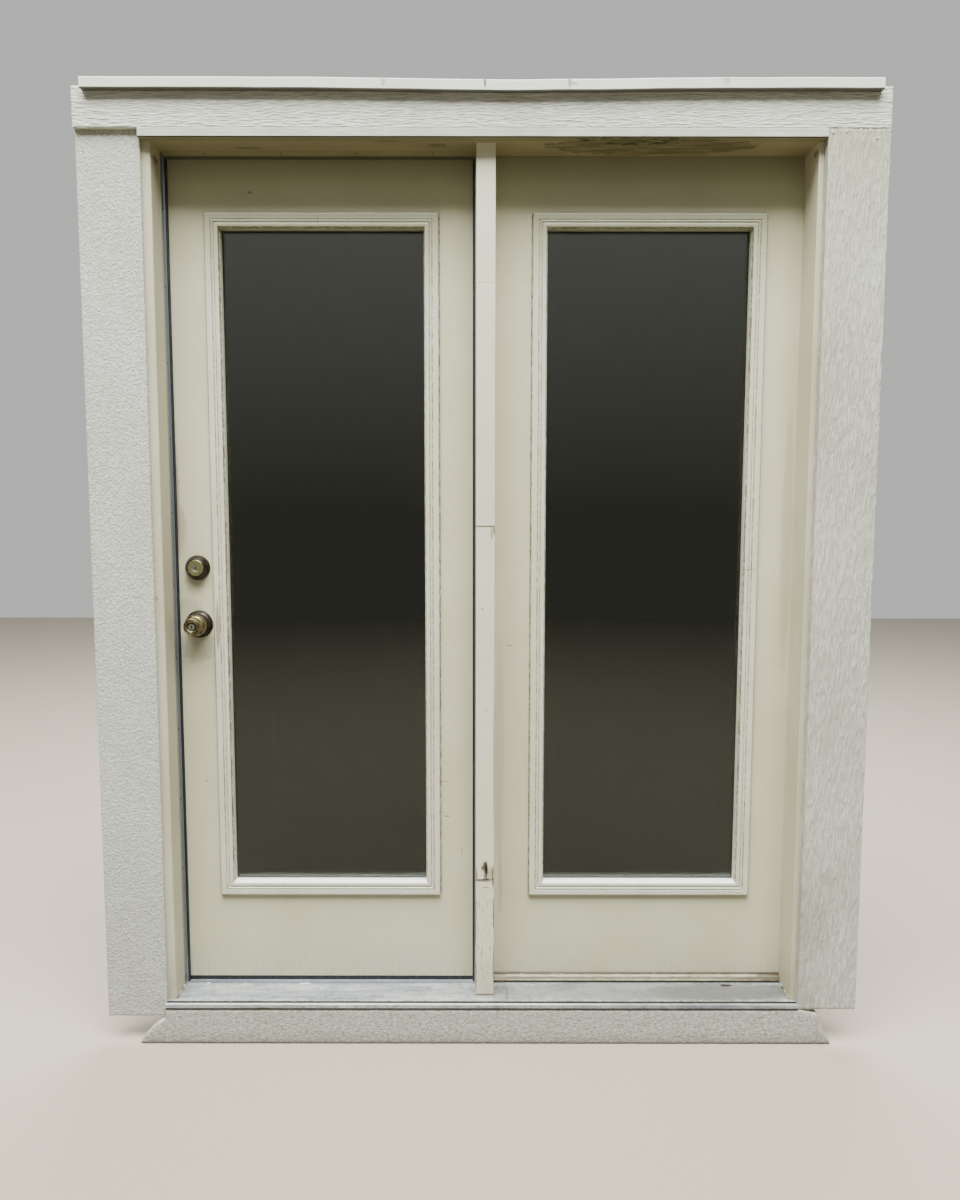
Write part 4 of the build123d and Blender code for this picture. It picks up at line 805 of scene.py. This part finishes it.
# Moulded plastic under cream paint: smooth satin, darker along the grooves of the moulding, most of all
# outside. Faces that turn up are painted paler as highlight, and the top is painted darker as shade
lite_material, tree, shader, place = new_material("painted_moulded_plastic")
sides = node(tree, "ShaderNodeSeparateXYZ", {0: place})
insets = []
for axis, middle, half in (("X", LITE_MID_X, LITE_HALF_W), ("Z", LITE_MID_Z, LITE_HALF_H)):
    inset = sides[axis]
    for operation, by in (("ABSOLUTE", 0.0), ("SUBTRACT", middle), ("ABSOLUTE", 0.0)):
        inset = node(tree, "ShaderNodeMath", {0: inset, 1: by}, operation=operation)[0]
    insets.append(node(tree, "ShaderNodeMath", {0: half, 1: inset}, operation="SUBTRACT")[0])
from_edge = node(tree, "ShaderNodeMath", {0: insets[0], 1: insets[1]}, operation="MINIMUM")[0]
slow = patches(tree, place, (90, 90, 200), (0.38, 0.66), detail=4.0)
colour = coat(tree, "#dedac5", "#d3cfb6", slow)
outside_share = fade(tree, place, "Y", 0.0, 0.02, 0.85, 0.12)
groove_patches = patches(tree, place, (14, 14, 14), (0.38, 0.58), where=outside_share, detail=6.0, roughness=0.7)
for middle, reach in GROOVES:
    line = node(tree, "ShaderNodeMath", {0: from_edge, 1: middle * MM, 2: reach * MM}, operation="COMPARE")[0]
    colour = coat(tree, colour, "#6d664d", line, share=groove_patches)
colour = marked(tree, place, colour, lite_marks)
# Painted highlight on faces that turn up, and painted shade under the head
colour = coat(tree, colour, "#fffefa", facing(tree, 0.2, 0.6, 0.95))
colour = painted_head_shade(tree, place, colour, 0.95)
fine = stretched(tree, place, (3, 3, 3), detail=4.0)
finish(tree, shader, colour, (slow, 0.34, 0.48), relief=fine, strength=0.25)
dress(lite_material, "leaf_lite_frame_outer", "leaf_lite_frame_inner",
      "fixed_lite_frame_outer", "fixed_lite_frame_inner")

# Caulk round the outer lites: a thin acrylic bead in the corner of frame and slab, painted in with
# the door and open in dark cracks for a few centimetres at a time.
CAULK_R = 0.0014
CAULK_Y = -0.0003
CAULK_STEP = 0.006
CAULK_UNEVEN = 1.1
CAULK_SEED = 3.0
# Longer gaps in the caulk, black with dirt: their middles and half sizes in mm
CAULK_GAPS = (
    ((-577, 0, 1942), (26, 9, 5)),
    ((-400, 0, 1942), (48, 9, 5)),
    ((-676, 0, 860), (9, 9, 120)),
    ((403, 0, 1942), (300, 9, 5)),
)
# Old acrylic caulk: olive cream paint over it, near black where it has cracked
caulk_material, tree, shader, place = new_material("cracked_painted_caulk")
crack = patches(tree, place, (22, 22, 22), (0.44, 0.54), detail=5.0, roughness=0.7)
colour = coat(tree, "#b9b292", "#4f4935", crack)
for middle, reach in CAULK_GAPS:
    colour = coat(tree, colour, "#2f2a20", spot(tree, place, middle, reach, ragged=0.6, grain=160.0))
finish(tree, shader, colour, 0.65)
# A round bead along a path, thicker and thinner as it goes
bead_on_path, bead_inputs, given = making_tree("bead_on_path", (
    ("Step", "Float"), ("Radius", "Float"), ("Unevenness", "Float"), ("Seed", "Float")))
tree = bead_on_path
path = node(tree, "GeometryNodeMeshToCurve", {0: given["Geometry"]})[0]
path = node(tree, "GeometryNodeResampleCurve", {"Curve": path, "Length": given["Step"]}, mode="LENGTH")[0]
wander = node(tree, "ShaderNodeTexNoise", {
    "W": given["Seed"], "Scale": 45.0, "Detail": 3.0}, noise_dimensions="4D")[0]
wander = node(tree, "ShaderNodeMath", {0: wander, 1: 0.5}, operation="SUBTRACT")[0]
wander = node(tree, "ShaderNodeMath", {
    0: wander, 1: given["Unevenness"], 2: 1.0}, operation="MULTIPLY_ADD")[0]
path = node(tree, "GeometryNodeSetCurveRadius", {"Curve": path, "Radius": wander})[0]
section = node(tree, "GeometryNodeCurvePrimitiveCircle", {
    "Resolution": 6, "Radius": given["Radius"]})["Curve"]
tube = node(tree, "GeometryNodeCurveToMesh", {"Curve": path, "Profile Curve": section})[0]
end_tree(tree, node(tree, "GeometryNodeSetShadeSmooth", {0: tube})[0], given)


def run_bead(name, points, step, radius, unevenness, seed, material):
    """Run a bead from point to point, back to the first where there are more than two."""
    path = bpy.data.meshes.new(name)
    count = len(points)
    path.from_pydata(points, [(i, (i + 1) % count) for i in range(count if count > 2 else 1)], [])
    return grow(name, bead_on_path, bead_inputs, {
        "Step": step, "Radius": radius, "Unevenness": unevenness, "Seed": seed, "Finish": material}, path)


for name, side, body in (("leaf_lite_caulk", -1, "leaf"), ("panel_lite_caulk", 1, "frame")):
    corners = [
        (side * LITE_MID_X + x * LITE_HALF_W, CAULK_Y, LITE_MID_Z + z * LITE_HALF_H)
        for x, z in ((-1, -1), (1, -1), (1, 1), (-1, 1))
    ]
    seed = CAULK_SEED + side
    caulk = run_bead(name, corners, CAULK_STEP, CAULK_R, CAULK_UNEVEN, seed, caulk_material)
    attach(caulk, body)

# Caulk at the jambs' feet: dragged on thick where the jambs stand on the deck, from the slabs out to
# the deck's fall, and gone black in its cracks.
FOOT_BEAD_R = 0.0026
FOOT_BEAD_IN = 0.0012
FOOT_BEAD_STEP = 0.004
FOOT_BEAD_UNEVEN = 1.6
FOOT_BEAD_SEED = 6.0
LEFT_JAMB_FACE = -0.7614
RIGHT_JAMB_FACE = 0.755
# Where it starts and ends on the falling deck: place out from the slabs, and height
FOOT_BEAD_RUN = ((-0.019, 0.0385), (-0.0885, 0.0360))
# The same caulk walked past for years: grey cream, black in its cracks
foot_material, tree, shader, place = new_material("dirty_foot_caulk")
crack = patches(tree, place, (12, 12, 12), (0.46, 0.58), detail=6.0, roughness=0.7)
finish(tree, shader, coat(tree, "#bdb7a2", "#4a4336", crack), 0.7)
for name, face, way in (("left_foot_caulk", LEFT_JAMB_FACE, 1), ("right_foot_caulk", RIGHT_JAMB_FACE, -1)):
    points = [(face + way * FOOT_BEAD_IN, y, z) for y, z in FOOT_BEAD_RUN]
    seed = FOOT_BEAD_SEED + way
    foot_caulk = run_bead(name, points, FOOT_BEAD_STEP, FOOT_BEAD_R, FOOT_BEAD_UNEVEN, seed, foot_material)
    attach(foot_caulk, "frame")

# Screw plugs: pressed into the inner lite frames over the screws that pull the two frames together,
# and painted with them. Five stand along each side, and one in the middle of each end.
PLUG_R = 4.6
PLUG_H = 0.9
PLUG_IN = 21.4
PLUG_FROM_END = 40
PLUG_FACE = 9.6
SLAB_THICK = 44.5
PLUG_ROWS = (-1, -0.5, 0, 0.5, 1)
plug_head = dome("screw_plug", PLUG_R, PLUG_H)
for name, side, body in (("leaf_screw_plugs", -1, "leaf"), ("panel_screw_plugs", 1, "frame")):
    half_w, half_h = LITE_HALF_W / MM - PLUG_IN, LITE_HALF_H / MM - PLUG_IN
    middle_x, middle_z = side * LITE_MID_X / MM, LITE_MID_Z / MM
    plugs = [
        (middle_x + x * half_w, middle_z + z * (half_h - PLUG_FROM_END)) for x in (-1, 1) for z in PLUG_ROWS
    ]
    plugs += [(middle_x, middle_z + z * half_h) for z in (-1, 1)]
    plugs = [((x, SLAB_THICK + PLUG_FACE, z), (0, 1, 0)) for x, z in plugs]
    set_heads(name, plug_head, plugs, lite_material, body)
bpy.data.objects.remove(plug_head)

# Glass: two panes sealed on a spacer bar, the inner one darkened with painted shade, so that they mirror
# what stands before them. They are clean but for dust and dried streaks of rain.
GLASS_IOR = 1.52


def float_glass(name, colour, through):
    """Mirror-smooth float glass, hazed a little by dried rain, its colour a shade uneven."""
    material, tree, shader, place = new_material(name)
    haze = patches(tree, place, (16, 16, 260), (0.5, 0.8), (0.01, 0.06), detail=5.0)
    body = coat(tree, colour, through, stretched(tree, place, (600, 600, 600), detail=2.0))
    finish(tree, shader, body, haze)
    shader.inputs["Transmission Weight"].default_value = 1.0
    shader.inputs["IOR"].default_value = GLASS_IOR
    return material


# Clear float glass: faintly green, it gives the panes their bright doubled reflections
dress(float_glass("clear_float_glass", "#e9efe8", "#e2eae2"), "leaf_pane_outer", "fixed_pane_outer")
# Dark float glass, its tint painted shade: grey-brown, it lets little light through
dress(float_glass("shade_tinted_float_glass", "#2f302a", "#272823"), "leaf_pane_inner", "fixed_pane_inner")
# Roll-formed aluminium: bright grey, with a fine cross line
spacer_material, tree, shader, place = new_material("anodised_spacer_bar")
ribs = stretched(tree, place, (2, 2, 2), detail=2.0)
finish(tree, shader, linear("#9fa2a4"), (ribs, 0.3, 0.5), metallic=1.0)
dress(spacer_material, "leaf_glass_spacer", "fixed_glass_spacer")

# Hinges and plates: three butt hinges between the mullion's web and the leaf, two strikes let into
# the jamb and two face plates in the leaf's edge, all brass-plated steel and screwed flush.
HINGE_HEIGHTS = (372.95, 1115.6, 1858.05)
SCREW_RISE = (-31, 0, 31)
SCREW_BACK = (21, 9, 21)
SCREW_R = 4.2
SCREW_PROUD = 0.25
# Most that a screw is turned about its own axis, in radians, so that their crosses stand differently
SCREW_TURN = 3.1
SCREW_SIDES = 16
# Rings of the head from its rim inwards: reach as a share of its radius, None for the cross, and height
SCREW_RINGS = ((1.0, 0.0), (0.96, 0.25), (0.58, 0.42), (None, 0.40), (None, -1.1))
CROSS_ARM = 0.46
CROSS_CORNER = 0.14
SCREW_FOOT = -3.0
CROSS_BOTTOM = -1.3
PLATE_SCREW_RISE = (-21, 21)
KNOB_Z = 958.5
DEADBOLT_Z = 1098.2
# Faces that the screws are flush with: hinge leaf on the web, on the slab, face plate and strike
WEB_LEAF_X = -9.5
SLAB_LEAF_X = -12.7
FACE_PLATE_X = -767.7
STRIKE_X = -770.9
# How much rougher a metal is where it has tarnished
DULLED_BY = 0.22


def metal(name, clean, tarnish, roughness, grain=(6, 6, 6), share=(0.42, 0.62)):
    """A metal with a tarnish that creeps over it: both its colour and its gloss change."""
    material, tree, shader, place = new_material(name)
    creep = patches(tree, place, grain, share, detail=7.0, roughness=0.65)
    colour = coat(tree, clean, tarnish, creep)
    finish(tree, shader, colour, (creep, roughness, roughness + DULLED_BY), metallic=1.0, relief=creep,
           strength=0.15, depth=0.0002)
    return material


def screw_head(radius):
    """A countersunk head flush with its face, with a cross recess, its sides closed below, in mm."""
    bm = bmesh.new()
    rings = []
    for reach, height in SCREW_RINGS:
        ring = []
        for i in range(SCREW_SIDES):
            turn = 2 * math.pi * i / SCREW_SIDES
            r = (reach or (CROSS_ARM if i % 4 == 0 else CROSS_CORNER)) * radius
            ring.append(bm.verts.new(Vector((r * math.cos(turn), r * math.sin(turn), height)) * MM))
        rings.append(ring)
    foot = bm.verts.new((0, 0, SCREW_FOOT * MM))
    recess = bm.verts.new((0, 0, CROSS_BOTTOM * MM))
    for i in range(SCREW_SIDES):
        j = (i + 1) % SCREW_SIDES
        bm.faces.new((foot, rings[0][j], rings[0][i]))
        bm.faces.new((rings[-1][i], rings[-1][j], recess))
        for lower, upper in zip(rings, rings[1:]):
            bm.faces.new((lower[i], lower[j], upper[j], upper[i]))
    return link_mesh("screw_head", bm)


def plate_screws(face, way):
    """Two screws to each plate of the two locks, with the face that they stand on and their way out."""
    return [
        ((face, SLAB_THICK / 2, z + rise), (way, 0, 0))
        for z in (KNOB_Z, DEADBOLT_Z) for rise in PLATE_SCREW_RISE
    ]


def hinge_screws(face, way):
    """Three screws to each hinge leaf, with the face that they stand on and their way out."""
    return [
        ((face, SLAB_THICK - back, z + rise), (way, 0, 0))
        for z in HINGE_HEIGHTS for rise, back in zip(SCREW_RISE, SCREW_BACK)
    ]


# Brass plate over steel: warm yellow, gone brown where it is handled and damp
plated_brass = metal("tarnished_brass_plate", "#b9a167", "#8d754a", 0.30, grain=(10, 10, 14))
dress(plated_brass, "hinge_frame_leaves", "hinge_pins", "hinge_door_leaves",
      "latch_strike", "deadbolt_strike", "latch_case", "deadbolt_case")
screw = screw_head(SCREW_R)
frame_screws = hinge_screws(WEB_LEAF_X - SCREW_PROUD, -1) + plate_screws(STRIKE_X + SCREW_PROUD, 1)
leaf_screws = hinge_screws(SLAB_LEAF_X + SCREW_PROUD, 1) + plate_screws(FACE_PLATE_X - SCREW_PROUD, -1)
set_heads("frame_hardware_screws", screw, frame_screws, plated_brass, "frame", turn=SCREW_TURN, seed=4)
set_heads("leaf_hardware_screws", screw, leaf_screws, plated_brass, "leaf", turn=SCREW_TURN, seed=9)
bpy.data.objects.remove(screw)

# Bolts: the sprung latch and the deadbolt, cast steel plated with zinc. They slide in their cases in
# the leaf's edge, and their strikes rub them bright.

# Zinc plate: pale cold grey, dull where nothing rubs it
bolt_steel = metal("zinc_plated_steel", "#a3a3a1", "#6f6e6b", 0.28)
dress(bolt_steel, "latch_bolt", "deadbolt_bolt")

# Knob set: turned brass knobs on a square spindle, one each side, over dark bronze roses. The outside
# face is worn back to old brass by hands, round the keyway. Outlines are radii and distances in mm.
LOCK_X = -707.4
SPINDLE_HALF = 3.5
SPINDLE_START = -4
SPINDLE_END = 64.5
JOINED_WITHIN = 0.000005
SHARP_FROM = math.radians(38)
KNOB_BODY = [
    (12.5, -4), (12.5, 14), (13.4, 16.4), (17, 18.4), (21, 20.5), (24, 22.9), (26, 25.9), (26.9, 29.2),
    (27, 31.5), (26.8, 35), (26, 39), (24.8, 42.4), (23.2, 44.6), (21.9, 45.4), (21.3, 46.4), (21.3, 47.6),
    (20.8, 48.4), (20.7, 55), (20.3, 63.2), (19.8, 64.4), (18.9, 65), (17.4, 65), (17.0, 64.2), (16.1, 63.7),
    (15.2, 64.2), (14.8, 65), (12.6, 65), (11.7, 64.6), (9.0, 60.5),
]
# The closed middle of the outside knob with its keyhole, and of the inside one with its button's hole
OUTSIDE_KNOB = [(0, -4), *KNOB_BODY, (8.3, 60), (8.3, 43.7), (0, 43.7)]
INSIDE_KNOB = [(0, 24), (5.1, 24), (5.1, -4), *KNOB_BODY, (5.3, 60), (5.3, 45.7), (0, 45.7)]
ROSE = [
    (34, 0), (34, 2.2), (33.6, 3.3), (32.5, 4.4), (31.3, 6.0), (29.7, 8.2), (28, 9.6), (25.2, 10.7), (20, 12),
    (14.6, 12.9), (13.3, 13), (12.8, 12.6), (12.8, 11.4), (20, 10.2), (27, 8.4), (31.4, 2.4), (32.4, 0),
]


def turned(name, outline, height, out, sides=72):
    """Turn an outline about a lock's axis, standing out from the slab's outer or inner face."""
    face = 0.0 if out < 0 else SLAB_THICK
    bm = bmesh.new()
    first = [bm.verts.new(Vector((LOCK_X + r, face + out * d, height)) * MM) for r, d in outline]
    edges = [bm.edges.new(pair) for pair in zip(first, first[1:])]
    if outline[0][0] > 0:
        edges.append(bm.edges.new((first[-1], first[0])))
    axis = Vector((LOCK_X, 0, height)) * MM
    bmesh.ops.spin(bm, geom=first + edges, cent=axis, axis=(0, 1, 0), angle=2 * math.pi, steps=sides)
    bmesh.ops.remove_doubles(bm, verts=bm.verts, dist=JOINED_WITHIN)
    bmesh.ops.dissolve_degenerate(bm, edges=bm.edges, dist=JOINED_WITHIN)
    piece = link_mesh(name, bm)
    piece.data.shade_smooth()
    piece.data.set_sharp_from_angle(angle=SHARP_FROM)
    return piece


# Aged brass: yellow where it is rubbed, brown-black where it isn't
old_brass = metal("hand_worn_brass", "#9a8d66", "#453d2b", 0.28, grain=(9, 9, 9), share=(0.40, 0.60))
# The same brass indoors: dulled evenly, a little brown in its grooves
inside_brass = metal("dull_indoor_brass", "#b5a06b", "#94804f", 0.30, grain=(16, 16, 16))
# Oxidised bronze: near black brown, satin
dark_bronze = metal("oxidised_bronze", "#4c4640", "#2b2724", 0.34, grain=(12, 12, 12))
outside_knob = turned("outside_knob_turned", OUTSIDE_KNOB, KNOB_Z, -1)
spindle = bmesh.new()
spindle.from_mesh(outside_knob.data)
bar = bmesh.ops.create_cube(spindle, size=MM)["verts"]
bar_length = SPINDLE_END - SPINDLE_START
bmesh.ops.scale(spindle, verts=bar, vec=(2 * SPINDLE_HALF, bar_length, 2 * SPINDLE_HALF))
bmesh.ops.translate(spindle, verts=bar, vec=Vector((LOCK_X, (SPINDLE_END + SPINDLE_START) / 2, KNOB_Z)) * MM)
spindle.to_mesh(outside_knob.data)
spindle.free()
inside_knob = turned("inside_knob_turned", INSIDE_KNOB, KNOB_Z, 1)
outside_rose = turned("outside_rose_turned", ROSE, KNOB_Z, -1)
inside_rose = turned("inside_rose_turned", ROSE, KNOB_Z, 1)
for piece, stood_for, body, material, slot in (
    (outside_knob, "outside_knob", "knob", old_brass, "brass"),
    (inside_knob, "inside_knob", "knob", inside_brass, "brass"),
    (outside_rose, "knob_rose_outside", "leaf", dark_bronze, "dark_bronze"),
    (inside_rose, "knob_rose_inside", "leaf", dark_bronze, "dark_bronze"),
):
    piece.data.materials.append(material)
    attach(piece, body)
    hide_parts(stood_for)
# Nickel silver: a pale grey plug, scratched dull round its keyway, whose slot is painted black as shade
nickel = metal("nickel_silver_plug", "#b4b1a6", "#77736a", 0.30, grain=(2, 2, 2))
tree, shader, place, colour = painted_over(nickel)
for height in (KNOB_Z, DEADBOLT_Z):
    keyway_shade = spot(tree, place, (LOCK_X, -40, height), (1.5, 60, 4.6), ragged=0.1, grain=300.0)
    colour = coat(tree, colour, "#14120f", keyway_shade)
tree.links.new(colour, shader.inputs["Base Color"])
dress(nickel, "knob_plug", "deadbolt_plug")
dress(inside_brass, "lock_button", "thumbturn", "deadbolt_inner_plate")

# Deadbolt: a turned cone of dark bronze round a brass cylinder, whose face carries one turned ring.
# Screws from the inner plate draw both against the slab.
COLLAR = [
    (19.7, 0), (30.7, 0), (30.7, 2.8), (30.2, 4.3), (28.9, 7.2), (26.4, 12.4), (24, 17.2), (22.9, 19.4),
    (22.3, 20.3), (21.3, 21), (20.3, 21), (19.7, 20.5),
]
CYLINDER = [
    (7.1, -10), (19.4, -10), (19.4, 21.2), (18.6, 22), (14.3, 22), (13.8, 21.3), (13.0, 21.3), (12.5, 22),
    (8.6, 22), (7.1, 21.3),
]
# Old brass with green in its corners, from rain
green_brass = metal("verdigris_brass", "#b6b488", "#7a7953", 0.32, grain=(5, 5, 5))
for name, outline, stood_for, material, slot in (
    ("deadbolt_collar_turned", COLLAR, "deadbolt_collar", dark_bronze, "dark_bronze"),
    ("deadbolt_cylinder_turned", CYLINDER, "deadbolt_cylinder", green_brass, "brass"),
):
    piece = turned(name, outline, DEADBOLT_Z, -1)
    piece.data.materials.append(material)
    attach(piece, "leaf")
    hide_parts(stood_for)
